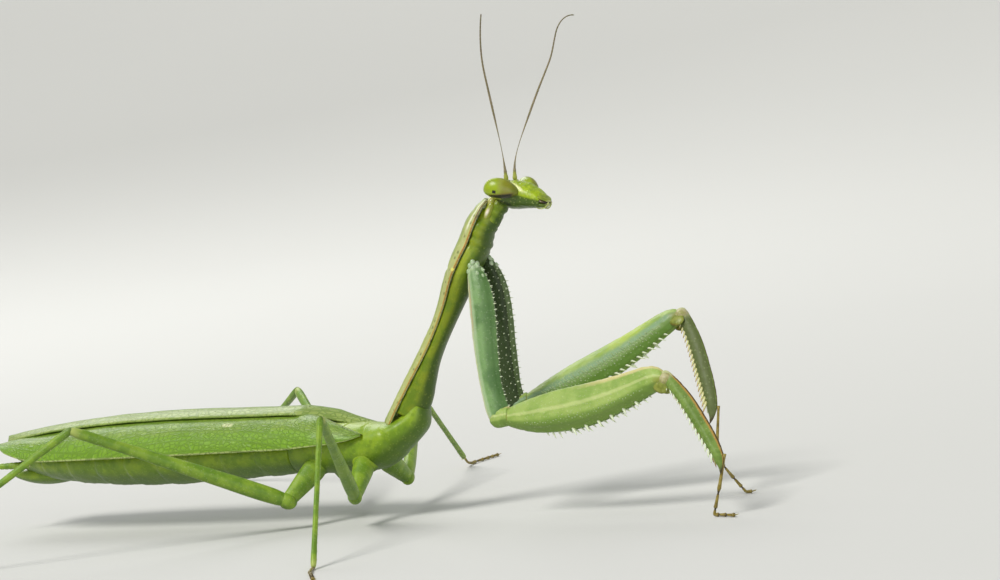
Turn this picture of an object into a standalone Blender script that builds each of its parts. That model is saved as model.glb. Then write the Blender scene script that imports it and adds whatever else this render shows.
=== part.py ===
"""Praying mantis: a slender green female standing still, life size.

The trunk lies along X with the head towards +X, the animal's left side is +Y and the
feet rest on Z = 0. Sizes below are millimetres, angles degrees. A limb's yaw is
counted from +X towards +Y and its pitch upwards from the horizontal.
"""

import math

import bmesh
import bpy
from mathutils import Euler, Matrix, Vector

MM = 0.001
GAP = 0.12  # clearance left between neighbouring plates
SIDES = {"right": -1, "left": 1}

# Place of the hinge between prothorax and mesothorax.
HINGE = Vector((8.3, -2.0, 12.0))
TRUNK_OFFSET_Y = -0.35  # the trunk axis beside the hinge
TRUNK_HEIGHT = 7.9

# Prothorax, measured along its own axis from the hinge.
PROTHORAX_YAW = 16.8
PROTHORAX_PITCH = 57.84
PRONOTUM_REAR = -2.5
PRONOTUM_FRONT = 23.3
PRONOTUM_EDGE = 0.3
PROSTERNUM_REAR = 0.7
PROSTERNUM_FRONT = 21.6
RIDGE = ((-2.5, 1.05), (2, 0.92), (5, 0.8), (8.5, 0.75), (11, 0.98), (13.4, 1.42),
         (15.7, 1.68), (18, 1.76), (20.3, 1.78), (22.1, 1.36), (23.3, 0.85))
MARGIN = ((-2.5, 0.15), (2, 0.0), (6.7, -0.15), (8.4, -0.12), (12, 0.13), (15.2, 0.42),
          (17.8, 0.4), (20.6, 0.66), (22.4, 0.76), (23.3, 0.62))
HALF_WIDTH = ((-2.5, 1.6), (0, 1.95), (3, 1.86), (8, 1.65), (11.5, 1.78), (13.5, 2.2),
              (15.5, 2.62), (17, 2.64), (19, 2.15), (21, 1.85), (22.6, 1.35), (23.3, 0.8))
KEEL = ((-1, 2.9), (2, 2.6), (3.1, 2.3), (5.75, 1.68), (9.2, 1.5), (13.9, 1.56),
        (16.5, 1.6), (19, 1.72), (20.2, 1.45), (21.8, 1.5))

# Head, in its own frame: X out of the face, Y to the left, Z to the crown.
HEAD_FROM_HINGE = Vector((14.03, 4.22, 21.0))
HEAD_TURN = (16.5, 69.3, -21.5)  # yaw, pitch, roll
HEAD_FACE = ((-4.1, 0.72), (-3.8, 0.9), (-3, 1.1), (-2, 1.16), (-1, 1.12), (0, 1.0),
             (0.5, 0.95), (1, 0.75), (1.5, 0.35), (1.75, -0.1))
HEAD_BACK = ((-4.1, 0.95), (-3.8, 1.05), (-3, 1.3), (-2, 1.6), (-1, 1.95), (0, 2.05),
             (0.5, 1.9), (1, 1.6), (1.4, 1.3), (1.75, 0.7))
HEAD_HALF = ((-4.1, 1.08), (-3.8, 1.2), (-3.2, 1.4), (-2.4, 1.7), (-1.4, 2.15),
             (-0.6, 2.45), (0, 2.55), (0.5, 2.5), (1, 2.3), (1.5, 1.9), (1.75, 1.2))
EYE_SIZE = (1.12, 1.2, 1.65)  # half sizes: through the face, outwards, along the eye
EYE_OUT = 2.45
EYE_TILT = 42.0
ANTENNA_SOCKET = (0.95, 0.75, 0.7)
ANTENNA_RADIUS = 0.27
ANTENNA_LENGTH = {"right": 17.5, "left": 18.6}
ANTENNA_SPREAD = {"right": 0.1, "left": -0.1}  # drift to the right per unit length
ANTENNA_LEAN = {  # forward lean from the upright along the length
    "right": ((0, -2), (0.1, -5), (0.6, -4), (0.8, 3), (1, 12)),
    "left": ((0, 3), (0.06, 19), (0.2, 23), (0.45, 26), (0.6, 28), (0.68, 26), (0.76, 18),
             (0.82, 18), (0.88, 30), (0.94, 58), (1, 103)),
}
ANTENNA_PLANE = 34.0  # azimuth in which the antennae lean

# Raptorial legs. The base is a place on the prothorax (along, below, right). The coxa
# and femur are (yaw, pitch, roll, length). The tibia is (sway, flex, length), folded in
# the femur's own frame. The foot is a run of (yaw, pitch, length) down to the floor.
FORE = {
    "right": {"base": (16.8, 1.1, 1.7), "coxa": (-47.4, -68.6, -62.0, 16.4),
              "femur": (2.7, 8.3, -10.0, 19.6), "tibia": (-13.9, 61.1, 12.4),
              "foot": ((-160.0, -74.0, 6.3), (-14.0, 0.0, 3.37))},
    "left": {"base": (17.2, 1.3, -1.7), "coxa": (30.6, -83.7, 15.6, 15.5),
             "femur": (16.6, 22.7, -42.0, 19.7), "tibia": (14.0, 94.8, 12.5),
             "foot": ((-150.0, -81.0, 5.2), (24.0, -57.0, 4.7), (30.0, 0.0, 1.3))},
}
COXA_FRONT = ((0, 0.5), (0.1, 1.3), (0.25, 1.5), (0.6, 0.88), (0.85, 0.5), (1, 0.6))
COXA_REAR = ((0, 0.6), (0.25, 1.02), (0.7, 1.42), (0.95, 1.25), (1, 1.2))
COXA_THICK = ((0, 0.6), (0.2, 1.05), (0.6, 1.0), (1, 0.85))
FEMUR_TOP = ((0, 0.55), (0.1, 0.85), (0.3, 1.25), (0.6, 1.28), (0.78, 1.42), (0.92, 1.65),
             (1, 1.25))
FEMUR_BOTTOM = ((0, 0.8), (0.1, 1.6), (0.2, 2.35), (0.42, 3.0), (0.57, 2.9),
                (0.77, 2.05), (0.9, 1.3), (1, 0.8))
FEMUR_THICK = ((0, 0.6), (0.15, 1.0), (0.4, 1.2), (0.7, 1.05), (0.9, 0.85), (1, 0.7))
TIBIA_TOP = ((0, 0.85), (0.12, 1.15), (0.35, 1.52), (0.6, 1.52), (0.85, 1.25), (1, 0.9))
TIBIA_BOTTOM = ((0, 0.5), (0.12, 0.15), (0.5, -0.05), (0.85, -0.1), (1, -0.1))
TIBIA_THICK = ((0, 0.55), (0.2, 0.5), (0.6, 0.55), (1, 0.42))
FEMUR_OUTER_SPINES = 5
FEMUR_INNER_SPINES = 8
TIBIA_OUTER_SPINES = 12
TIBIA_INNER_SPINES = 8
CLAW_LENGTH = 2.3

# Walking legs: root on the trunk (x from the hinge, y out, z up), then each segment.
WALKING = {
    "mid_right": {"root": (-4.3, 2.1, 6.0), "coxa": (-75.0, -36.0, 4.6),
                  "femur": (-62.0, 32.0, 19.0), "tibia": (-66.0, -50.5, 17.0),
                  "tarsus": (-50.0, 9.0)},
    "mid_left": {"root": (-4.3, 2.1, 6.0), "coxa": (96.0, -34.0, 4.6),
                 "femur": (118.0, 22.0, 19.0), "tibia": (108.0, -33.5, 17.0),
                 "tarsus": (92.0, 9.0)},
    "hind_right": {"root": (-10.6, 2.1, 6.0), "coxa": (-108.0, -35.0, 5.0),
                   "femur": (-134.0, 26.0, 24.0), "tibia": (-147.0, -30.5, 25.0),
                   "tarsus": (-152.0, 11.5)},
    "hind_left": {"root": (-10.6, 2.1, 6.0), "coxa": (112.0, -35.0, 5.0),
                  "femur": (139.0, 21.0, 24.0), "tibia": (151.0, -25.0, 25.0),
                  "tarsus": (157.0, 11.5)},
}
WALKING_THICK = {"mid": (0.8, 0.42), "hind": (0.86, 0.44)}
FOOT_RADIUS = 0.32
FOOT_SINK = 0.12  # how far a sole is flattened

# Trunk and folded wings, x measured back from the hinge.
MESOTHORAX_REAR = 6.95
METATHORAX_REAR = 13.3
ABDOMEN_REAR = 52.5
ABDOMEN_SEGMENTS = 9
ABDOMEN_HALF = ((13.4, 2.9), (18, 3.25), (30, 3.95), (40, 3.6), (48, 2.4), (52.5, 1.0))
ABDOMEN_TOP = ((13.4, 2.3), (18, 2.5), (30, 2.75), (40, 2.4), (48, 1.6), (52.5, 0.8))
ABDOMEN_BOTTOM = ((13.4, 2.7), (18, 2.9), (30, 3.3), (40, 3.0), (48, 2.1), (52.5, 0.9))
WING_THICK = 0.5
WING_LAYER = 0.68  # step from one folded wing to the next
WING_HALF = ((3.6, 3.1), (8, 3.3), (16, 3.5), (30, 4.15), (42, 3.85), (50, 2.9), (55.5, 1.7))
WING_RISE = ((3.6, 2.55), (8, 2.65), (16, 2.75), (30, 2.98), (42, 2.6), (50, 1.85), (55.5, 1.2))
WINGS = {  # first and last station, layer on the flank, layer on the back
    "hindwing_right": (9.0, 53.5, 0, 0), "hindwing_left": (9.0, 54.0, 0, 0),
    "tegmen_right": (3.7, 55.2, 1, 1), "tegmen_left": (3.7, 55.6, 1, 2),
}

MATERIALS = {
    "cuticle": ((0.33, 0.55, 0.06), 0.45),
    "pronotum": ((0.45, 0.6, 0.12), 0.45),
    "leg": ((0.42, 0.6, 0.25), 0.42),
    "walking_leg": ((0.36, 0.55, 0.14), 0.45),
    "eye": ((0.42, 0.5, 0.08), 0.12),
    "antenna": ((0.45, 0.36, 0.2), 0.5),
    "mouth": ((0.4, 0.36, 0.08), 0.4),
    "wing": ((0.34, 0.5, 0.1), 0.5),
    "tarsus": ((0.5, 0.38, 0.1), 0.45),
}


def profile(table, at):
    """Size at a station, blended smoothly between the table's stations."""
    if at <= table[0][0]:
        return table[0][1]
    for (a, low), (b, high) in zip(table, table[1:]):
        if at <= b:
            part = (at - a) / (b - a)
            part = part * part * (3 - 2 * part) * 0.5 + part * 0.5
            return low + (high - low) * part
    return table[-1][1]


def spread(start, end, count):
    """Evenly spaced stations, both ends included."""
    return [start + (end - start) * i / (count - 1) for i in range(count)]


def heading(yaw, pitch):
    """Unit vector of a yaw and a pitch in degrees."""
    yaw, pitch = math.radians(yaw), math.radians(pitch)
    return Vector((math.cos(pitch) * math.cos(yaw), math.cos(pitch) * math.sin(yaw),
                   math.sin(pitch)))


def turn(yaw, pitch, roll=0.0):
    """Rotation that lays X along a heading and keeps Z as upright as it can."""
    return Euler((math.radians(roll), math.radians(-pitch), math.radians(yaw)), "XYZ")


def oval(half, top, bottom, sides, power=2.0, phase=0.5):
    """Points (y, z) round a superellipse with its own height above and below."""
    points = []
    for i in range(sides):
        angle = math.tau * (i + phase) / sides
        c, s = math.cos(angle), math.sin(angle)
        y = half * math.copysign(abs(c) ** (2 / power), c)
        z = (top if s > 0 else bottom) * math.copysign(abs(s) ** (2 / power), s)
        points.append((y, z))
    return points


def material(name):
    """The finish of one kind of piece."""
    found = bpy.data.materials.get(name)
    if found:
        return found
    colour, roughness = MATERIALS[name]
    made = bpy.data.materials.new(name)
    made.use_nodes = True
    shader = made.node_tree.nodes["Principled BSDF"]
    shader.inputs["Base Color"].default_value = (*colour, 1.0)
    shader.inputs["Roughness"].default_value = roughness
    shader.inputs["Metallic"].default_value = 0.0
    made.diffuse_color = (*colour, 1.0)
    return made


def body_from(bm, name, finish):
    """Turn a bmesh into a named object that is shaded smooth."""
    bmesh.ops.recalc_face_normals(bm, faces=bm.faces)
    mesh = bpy.data.meshes.new(name)
    bm.to_mesh(mesh)
    bm.free()
    mesh.shade_smooth()
    mesh.set_sharp_from_angle(angle=math.radians(50))
    mesh.materials.append(material(finish))
    piece = bpy.data.objects.new(name, mesh)
    bpy.context.scene.collection.objects.link(piece)
    return piece


def loft(name, rings, finish):
    """Skin a run of equal rings of points, in millimetres, and cap both ends."""
    bm = bmesh.new()
    rows = [[bm.verts.new(Vector(p) * MM) for p in ring] for ring in rings]
    for near, far in zip(rows, rows[1:]):
        for i, vert in enumerate(near):
            j = (i + 1) % len(near)
            bm.faces.new((vert, near[j], far[j], far[i]))
    bm.faces.new(rows[0])
    bm.faces.new(rows[-1])
    return body_from(bm, name, finish)


def place(piece, at, yaw, pitch, roll=0.0):
    """Set a piece's X axis along a heading from a point in millimetres."""
    piece.location = Vector(at) * MM
    piece.rotation_euler = turn(yaw, pitch, roll)
    return piece


def along_path(points, radii, sides):
    """Rings of a round tube through points, carried along without twisting."""
    rings = []
    across = Vector((0.31, 0.95, 0.0))
    for i, point in enumerate(points):
        ahead = points[min(i + 1, len(points) - 1)] - points[max(i - 1, 0)]
        ahead.normalize()
        across = (across - ahead * across.dot(ahead)).normalized()
        over = across.cross(ahead)
        ring = []
        for y, z in oval(radii[i], radii[i], radii[i], sides):
            ring.append(point + across * y + over * z)
        rings.append(ring)
    return rings


def cutter_of(piece, gap):
    """A wire copy of a piece, swollen by the gap, for cutting its neighbour."""
    cutter = piece.copy()
    cutter.data = piece.data.copy()
    cutter.name = piece.name + "_room"
    for vert, normal in zip(cutter.data.vertices, [v.normal.copy() for v in piece.data.vertices]):
        vert.co += normal * gap * MM
    cutter.modifiers.clear()
    cutter.hide_render = True
    cutter.display_type = "WIRE"
    bpy.context.scene.collection.objects.link(cutter)
    return cutter


def make_room(piece, neighbour, gap=GAP):
    """Cut a piece back so that its neighbour fits against it with a clearance."""
    cut = piece.modifiers.new("room_" + neighbour.name, "BOOLEAN")
    cut.operation = "DIFFERENCE"
    cut.solver = "EXACT"
    cut.object = cutter_of(neighbour, gap)


def grow_spines(piece, spines, sides=4):
    """Join pointed spines to a piece. Each is (root, direction, length, radius)."""
    bm = bmesh.new()
    for root, direction, length, radius in spines:
        along = Vector(direction).normalized()
        middle = Vector(root) + along * (length / 2 - 0.3)
        pose = Matrix.Translation(middle * MM) @ along.to_track_quat("Z", "Y").to_matrix().to_4x4()
        bmesh.ops.create_cone(bm, cap_ends=True, segments=sides, radius1=radius * MM,
                              radius2=radius * 0.12 * MM, depth=(length + 0.6) * MM,
                              matrix=pose)
    tool = body_from(bm, piece.name + "_spines", piece.data.materials[0].name)
    tool.location = piece.location
    tool.rotation_euler = piece.rotation_euler
    tool.hide_render = True
    tool.display_type = "WIRE"
    union = piece.modifiers.new("spines", "BOOLEAN")
    union.operation = "UNION"
    union.solver = "EXACT"
    union.object = tool


def prothorax_point(station, below=0.0, right=0.0):
    """World point at a station of the prothorax, below its axis and to the right."""
    local = Vector((station, -right, -below))
    return HINGE + turn(PROTHORAX_YAW, PROTHORAX_PITCH).to_matrix() @ local


def build_pronotum():
    """The long shield over the prothorax, arched in section, widest over the coxae."""
    rings = []
    for at in spread(PRONOTUM_REAR, PRONOTUM_FRONT, 19):
        half, edge, ridge = profile(HALF_WIDTH, at), profile(MARGIN, at), profile(RIDGE, at)
        ring = []
        for i in range(8):
            angle = math.pi * i / 7
            ring.append((at, half * math.cos(angle), edge + (ridge - edge) * math.sin(angle)))
        inset = half - 0.2
        for i in range(4):
            ring.append((at, inset * (2 * i / 3 - 1), edge - PRONOTUM_EDGE))
        rings.append(ring)
    return place(loft("pronotum", rings, "pronotum"), HINGE, PROTHORAX_YAW, PROTHORAX_PITCH)


def build_prosternum():
    """Flanks and underside of the prothorax, below the shield."""
    rings = []
    for at in spread(PROSTERNUM_REAR, PROSTERNUM_FRONT, 16):
        half = profile(HALF_WIDTH, at) * 0.84
        top = profile(MARGIN, at) - PRONOTUM_EDGE - GAP
        depth = profile(KEEL, at) + top
        ring = [(at, half * y, top) for y in (-0.94, -0.32, 0.32, 0.94)]
        for i in range(8):
            angle = math.pi * i / 7
            drop = 0.12 + (depth - 0.12) * math.sin(angle) ** 0.8
            ring.append((at, half * math.cos(angle), top - drop))
        rings.append(ring)
    return place(loft("prosternum", rings, "cuticle"), HINGE, PROTHORAX_YAW, PROTHORAX_PITCH)


def head_matrix():
    """Placement of the head's own frame, in millimetres."""
    spot = Matrix.Translation(HINGE + HEAD_FROM_HINGE)
    return spot @ turn(*HEAD_TURN).to_matrix().to_4x4()


def head_piece(name, rings, finish):
    """A piece modelled in the head's frame."""
    return place(loft(name, rings, finish), HINGE + HEAD_FROM_HINGE, *HEAD_TURN)


def build_head():
    """The wedge of the head: wide between the eyes, narrow at the mouth."""
    rings = []
    for at in spread(-4.1, 1.75, 12):
        face, back, half = profile(HEAD_FACE, at), profile(HEAD_BACK, at), profile(HEAD_HALF, at)
        rings.append([(x - 0.4, y, at) for y, x in oval(half, face + 0.4, back - 0.4, 12, 2.3)])
    return head_piece("head", rings, "cuticle")


def build_eye(side):
    """One bulging oval eye, leaning out at the crown."""
    bm = bmesh.new()
    bmesh.ops.create_uvsphere(bm, u_segments=12, v_segments=8, radius=MM)
    bmesh.ops.scale(bm, vec=EYE_SIZE, verts=bm.verts)
    lean = Matrix.Rotation(math.radians(-EYE_TILT * SIDES[side]), 4, "X")
    bmesh.ops.transform(bm, matrix=lean, verts=bm.verts)
    bmesh.ops.translate(bm, vec=Vector((0, EYE_OUT * SIDES[side], 0)) * MM, verts=bm.verts)
    eye = body_from(bm, "eye_" + side, "eye")
    return place(eye, HINGE + HEAD_FROM_HINGE, *HEAD_TURN)


def build_labrum():
    """The upper lip with the clypeus above it."""
    rings = []
    for at in spread(-4.22, -5.0, 4):
        part = (-4.22 - at) / 0.78
        half = 0.98 - 0.42 * part
        face = 0.7 - 0.42 * part
        ring = [(x - 0.1, y, at) for y, x in oval(half, face + 0.1, 0.25, 10, 2.4)]
        rings.append(ring)
    return head_piece("labrum", rings, "cuticle")


def build_mandible(side):
    """One stout jaw behind the lip."""
    rings = []
    for at in spread(-4.22, -4.85, 4):
        part = (-4.22 - at) / 0.63
        half = 0.42 - 0.12 * part
        middle = (0.5 - 0.06 * part) * SIDES[side]
        ring = [(x - 0.78, y + middle, at) for y, x in oval(half, 0.3, 0.28, 8)]
        rings.append(ring)
    return head_piece("mandible_" + side, rings, "mouth")


def build_palp(side):
    """A jointed feeler that hangs beside the jaw."""
    out = SIDES[side]
    knots = [Vector((-0.95, 0.95 * out, -3.95)), Vector((-1.1, 1.15 * out, -4.4)),
             Vector((-0.8, 1.15 * out, -4.75)), Vector((-0.3, 0.95 * out, -4.95))]
    rings = along_path(knots, (0.25, 0.26, 0.25, 0.24), 6)
    return head_piece("palp_" + side, rings, "cuticle")


def antenna_path(side):
    """Points from the socket to the tip, the heading easing along the way."""
    ahead, out, up = ANTENNA_SOCKET
    point = head_matrix() @ Vector((ahead, out * SIDES[side], up))
    across = heading(ANTENNA_PLANE - 90, 0) * ANTENNA_SPREAD[side]
    steps = 15
    points = [point.copy()]
    for i in range(steps):
        lean = profile(ANTENNA_LEAN[side], (i + 0.5) / steps)
        along = heading(ANTENNA_PLANE, 90 - lean) + across
        point = point + along * (ANTENNA_LENGTH[side] / steps)
        points.append(point.copy())
    return points


def build_antenna(side):
    """A thread-like feeler on a thicker first joint."""
    points = antenna_path(side)
    radii = [0.33, 0.3] + [ANTENNA_RADIUS] * (len(points) - 3) + [ANTENNA_RADIUS * 0.8]
    return loft("antenna_" + side, along_path(points, radii, 6), "antenna")


def build_neck():
    """Soft throat between the prothorax and the back of the head."""
    front = head_matrix() @ Vector((-1.6, 0, -0.35))
    knots = [prothorax_point(21.75, 0.45), prothorax_point(22.6, 0.55),
             prothorax_point(23.2, 0.85), front]
    knots.insert(3, (knots[2] + front) / 2)
    return loft("neck", along_path(knots, (1.15, 1.22, 1.25, 1.2, 1.1), 10), "cuticle")


def limb_rings(stations, length, top, bottom, thick, sides, power=2.0):
    """Rings along X with rounded ends, sized by three profiles over 0 to 1."""
    rings = []
    for t in stations:
        close = 1.0
        if t < 0.03:
            close = 0.45
        if t > 0.985:
            close = 0.5
        half = profile(thick, t) * close
        middle = (profile(top, t) - profile(bottom, t)) / 2
        reach = (profile(top, t) + profile(bottom, t)) / 2 * close
        ring = [(t * length, y, middle + z) for y, z in oval(half, reach, reach, sides, power)]
        rings.append(ring)
    return rings


def fore_coxa(side, root):
    """The long three-sided first joint of a raptorial leg."""
    yaw, pitch, roll, length = FORE[side]["coxa"]
    stations = [0.0, 0.03, 0.1, 0.2, 0.32, 0.46, 0.6, 0.74, 0.86, 0.93]
    rings = limb_rings(stations, length, COXA_FRONT, COXA_REAR, COXA_THICK, 10)
    return place(loft("coxa_fore_" + side, rings, "leg"), root, yaw, pitch, roll)


def ellipsoid(name, at, sizes, yaw, pitch, finish, segments=12, rings=7):
    """A smooth egg-shaped piece with three half sizes, set along a heading."""
    bm = bmesh.new()
    bmesh.ops.create_uvsphere(bm, u_segments=segments, v_segments=rings, radius=MM)
    bmesh.ops.scale(bm, vec=sizes, verts=bm.verts)
    return place(body_from(bm, name, finish), at, yaw, pitch)


def fore_trochanter(side, at):
    """The small turning joint between coxa and femur."""
    yaw, pitch = FORE[side]["femur"][:2]
    return ellipsoid("trochanter_fore_" + side, at, (1.12, 0.92, 1.08), yaw, pitch, "leg")


def femur_spines(side, length):
    """Stout spines below the femur: an outer row, an inner row and two near the base."""
    out = SIDES[side]
    spines = []
    for i in range(FEMUR_OUTER_SPINES):
        t = 0.44 + 0.29 * i / (FEMUR_OUTER_SPINES - 1)
        drop = -profile(FEMUR_BOTTOM, t) + 0.35
        root = (t * length, 0.42 * out, drop)
        spines.append((root, (0.28, 0.32 * out, -1.0), 0.95, 0.2))
    for i in range(FEMUR_INNER_SPINES):
        t = 0.4 + 0.45 * i / (FEMUR_INNER_SPINES - 1)
        drop = -profile(FEMUR_BOTTOM, t) + 0.4
        root = (t * length, -0.45 * out, drop)
        spines.append((root, (0.25, -0.4 * out, -1.0), 0.95 if i % 2 else 0.65, 0.17))
    for i in range(2):
        t = 0.27 + 0.06 * i
        spines.append(((t * length, 0, -profile(FEMUR_BOTTOM, t) + 0.35), (0.3, 0, -1.0), 1.0, 0.2))
    return spines


def fore_femur(side, root):
    """The deep blade of the raptorial leg, with its rows of spines."""
    yaw, pitch, roll, length = FORE[side]["femur"]
    stations = [0.045, 0.06, 0.1, 0.17, 0.28, 0.4, 0.52, 0.64, 0.76, 0.87, 0.95, 0.983, 1.0]
    rings = limb_rings(stations, length, FEMUR_TOP, FEMUR_BOTTOM, FEMUR_THICK, 10)
    femur = place(loft("femur_fore_" + side, rings, "leg"), root, yaw, pitch, roll)
    grow_spines(femur, femur_spines(side, length))
    return femur


def tibia_spines(side, length):
    """Combs of slanting spines that lengthen towards the claw."""
    out = SIDES[side]
    spines = []
    for row, count in ((1, TIBIA_OUTER_SPINES), (-1, TIBIA_INNER_SPINES)):
        for i in range(count):
            t = 0.2 + 0.66 * i / (count - 1)
            reach = 0.3 + 0.75 * (i / (count - 1)) ** 1.4
            root = (t * length, 0.22 * row * out, -profile(TIBIA_BOTTOM, t) + 0.22)
            spines.append((root, (1.0, 0.32 * row * out, -0.85), reach, 0.13 + 0.05 * reach))
    return spines


def fore_tibia(side, pose):
    """The toothed shin, ended by a hooked claw."""
    length = FORE[side]["tibia"][2]
    stations = [-0.06, -0.045, 0.0, 0.06, 0.13, 0.24, 0.36, 0.48, 0.6, 0.72, 0.82, 0.88]
    rings = limb_rings(stations, length, TIBIA_TOP, TIBIA_BOTTOM, TIBIA_THICK, 8)
    shin_end = 0.88 * length
    for i in range(1, 5):
        t = i / 4
        size = 1 - 0.86 * t
        middle = Vector((shin_end + (length - shin_end) * t, 0, 0.55 - 0.62 * t * t))
        ring = [middle + Vector((0, y * size, z * size)) for y, z in oval(0.4, 0.6, 0.6, 8)]
        rings.append(ring)
    tibia = loft("tibia_fore_" + side, rings, "leg")
    tibia.location = pose.translation * MM
    tibia.rotation_euler = pose.to_euler()
    grow_spines(tibia, tibia_spines(side, length))
    return tibia


def sole_on_floor(rings):
    """Flatten what would sink below the floor, leaving a small flat sole."""
    return [[Vector((p[0], p[1], max(p[2], 0.0))) for p in ring] for ring in rings]


def build_tarsus(name, start, runs):
    """A jointed foot that reaches down to the floor and lies flat on it."""
    rest = FOOT_RADIUS - FOOT_SINK
    point = start.copy()
    knots = [point.copy()]
    for yaw, pitch, length in runs:
        for share in (0.5, 0.5):
            point = point + heading(yaw, pitch) * length * share
            point.z = max(point.z, rest)
            knots.append(point.copy())
    radii = [0.26 + (FOOT_RADIUS - 0.26) * min(1, i / 2) for i in range(len(knots))]
    rings = sole_on_floor(along_path(knots, radii, 8))
    return loft(name, rings, "tarsus")


def tibia_pose(side, knee):
    """Placement of a raptorial tibia, swayed and flexed from its femur."""
    yaw, pitch, roll, _ = FORE[side]["femur"]
    sway, flex, _ = FORE[side]["tibia"]
    pose = turn(yaw, pitch, roll).to_matrix() @ Matrix.Rotation(math.radians(sway), 3, "X")
    pose = pose @ Matrix.Rotation(math.radians(flex), 3, "Y")
    return Matrix.Translation(knee) @ pose.to_4x4()


def build_fore_leg(side):
    """One raptorial leg from its root on the prothorax to the foot."""
    plan = FORE[side]
    root = prothorax_point(*plan["base"])
    turn_point = root + heading(*plan["coxa"][:2]) * plan["coxa"][3]
    knee = turn_point + heading(*plan["femur"][:2]) * plan["femur"][3]
    coxa = fore_coxa(side, root)
    trochanter = fore_trochanter(side, turn_point)
    femur = fore_femur(side, turn_point)
    pose = tibia_pose(side, knee)
    tibia = fore_tibia(side, pose)
    make_room(coxa, trochanter)
    make_room(femur, trochanter)
    make_room(femur, tibia)
    start = pose @ Vector((plan["tibia"][2] * 0.885, 0, 1.5))
    make_room(tibia, build_tarsus("tarsus_fore_" + side, start, plan["foot"]))
    return coxa


def trunk_point(back, out=0.0, rise=0.0):
    """World point beside the straight rear trunk."""
    return Vector((HINGE.x - back, HINGE.y + TRUNK_OFFSET_Y + out, TRUNK_HEIGHT + rise))


def ring_across(centre, yaw, pitch, half, top, bottom, sides):
    """An oval ring square to a heading."""
    pose = turn(yaw, pitch).to_matrix()
    return [centre + pose @ Vector((0, y, z)) for y, z in oval(half, top, bottom, sides, 2.2)]


def build_mesothorax():
    """The body ring that bends from the raised prothorax down into the level trunk."""
    rings = [ring_across(prothorax_point(0.55, 1.6), PROTHORAX_YAW, 57.8, 1.62, 1.15, 1.2, 12),
             ring_across(prothorax_point(-0.9, 1.75), 12, 50, 2.05, 1.2, 1.7, 12),
             ring_across(trunk_point(1.1, 0.1, 1.2), 6, 35, 2.5, 1.3, 2.3, 12),
             ring_across(trunk_point(2.7, 0, 0.4), 2, 18, 2.8, 1.95, 2.7, 12),
             ring_across(trunk_point(4.6, 0, 0.05), 0, 5, 3.0, 2.35, 2.8, 12),
             ring_across(trunk_point(MESOTHORAX_REAR, 0, 0), 0, 0, 2.95, 2.35, 2.7, 12)]
    return loft("mesothorax", rings, "cuticle")


def build_metathorax():
    """The last ring of the thorax, under the wing roots."""
    rings = []
    front = MESOTHORAX_REAR + GAP
    for back, half in ((front, 2.95), (9.0, 3.08), (11.2, 3.05), (METATHORAX_REAR, 2.85)):
        rings.append(ring_across(trunk_point(back), 0, 0, half, 2.4, half * 0.92, 12))
    return loft("metathorax", rings, "cuticle")


def build_abdomen():
    """The long abdomen, each segment a little narrower where it meets the next."""
    rings = []
    front = METATHORAX_REAR + GAP
    length = (ABDOMEN_REAR - front) / ABDOMEN_SEGMENTS
    for i in range(ABDOMEN_SEGMENTS):
        for share, swell in ((0.0, 0.955), (0.72, 1.0)):
            back = front + (i + share) * length
            sizes = [profile(t, back) * swell for t in (ABDOMEN_HALF, ABDOMEN_TOP, ABDOMEN_BOTTOM)]
            rings.append(ring_across(trunk_point(back), 0, 0, *sizes, 10))
    rings.append(ring_across(trunk_point(ABDOMEN_REAR), 0, 0, 0.9, 0.7, 0.8, 10))
    return loft("abdomen", rings, "cuticle")


def build_cercus(side):
    """A short tapering tail feeler."""
    out = SIDES[side]
    knots = [trunk_point(50.5 + 1.5 * i, out * (0.9 + 0.55 * i), -0.35 + 0.05 * i) for i in range(5)]
    return loft("cercus_" + side, along_path(knots, (0.42, 0.45, 0.42, 0.36, 0.26), 6), "walking_leg")


def build_ovipositor():
    """The keeled end plate below the tip of the abdomen."""
    rings = []
    for back, size in ((48.5, 0.9), (50.5, 1.15), (52.5, 0.95), (54.2, 0.45)):
        middle = trunk_point(back, 0, -1.55)
        rings.append(ring_across(middle, 0, 0, size * 0.8, size * 0.7, size, 8))
    return loft("ovipositor", rings, "cuticle")


def wing_arc(name, back):
    """Angles from the back's crest where a folded wing's inner and outer edges lie."""
    first, last = WINGS[name][:2]
    opened = min(1.0, (back - first) / 7.0)
    closed = max(0.0, (back - (last - 9.0)) / 9.0) ** 2
    inner = 22 - 44 * opened + 24 * closed
    if name.startswith("hindwing"):
        inner = 6.0
    return inner, 70 + 14 * opened - 42 * closed


def build_wing(name):
    """A wing folded along the back: a thin curved plate, the left one on top."""
    first, last, flank, crest = WINGS[name]
    side = SIDES[name.split("_")[1]]
    steps = 3 if name.startswith("hindwing") else 5
    rings = []
    for back in spread(first, last, steps + 4):
        inner, outer = wing_arc(name, back)
        ring = []
        for face in (0, 1):
            for i in range(steps + 1):
                step = steps - i if face else i
                angle = inner + (outer - inner) * step / steps
                over = min(1.0, max(0.0, (52 - angle) / 22))
                lift = WING_LAYER * (flank + (crest - flank) * over)
                lift += WING_THICK if face else 0.0
                phi = math.radians(angle)
                out = (profile(WING_HALF, back) + lift) * math.sin(phi) * side
                rise = (profile(WING_RISE, back) + lift) * math.cos(phi)
                ring.append(trunk_point(back, out, rise))
        rings.append(ring)
    return loft(name, rings, "wing")


def walking_limb(name, at, plan, top_radius, end_radius, finish):
    """A plain slender segment, thicker at its base, with rounded ends."""
    yaw, pitch, length = plan
    thick = ((0, top_radius), (0.25, top_radius), (0.8, end_radius), (1, end_radius * 1.12))
    stations = [-0.012, 0.0, 0.12, 0.4, 0.75, 0.95, 0.995]
    rings = []
    for t in stations:
        size = profile(thick, t) * (0.6 if t in (-0.012, 0.995) else 1.0)
        rings.append([(t * length, y, z) for y, z in oval(size * 0.9, size, size, 8)])
    return place(loft(name, rings, finish), at, yaw, pitch)


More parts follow.
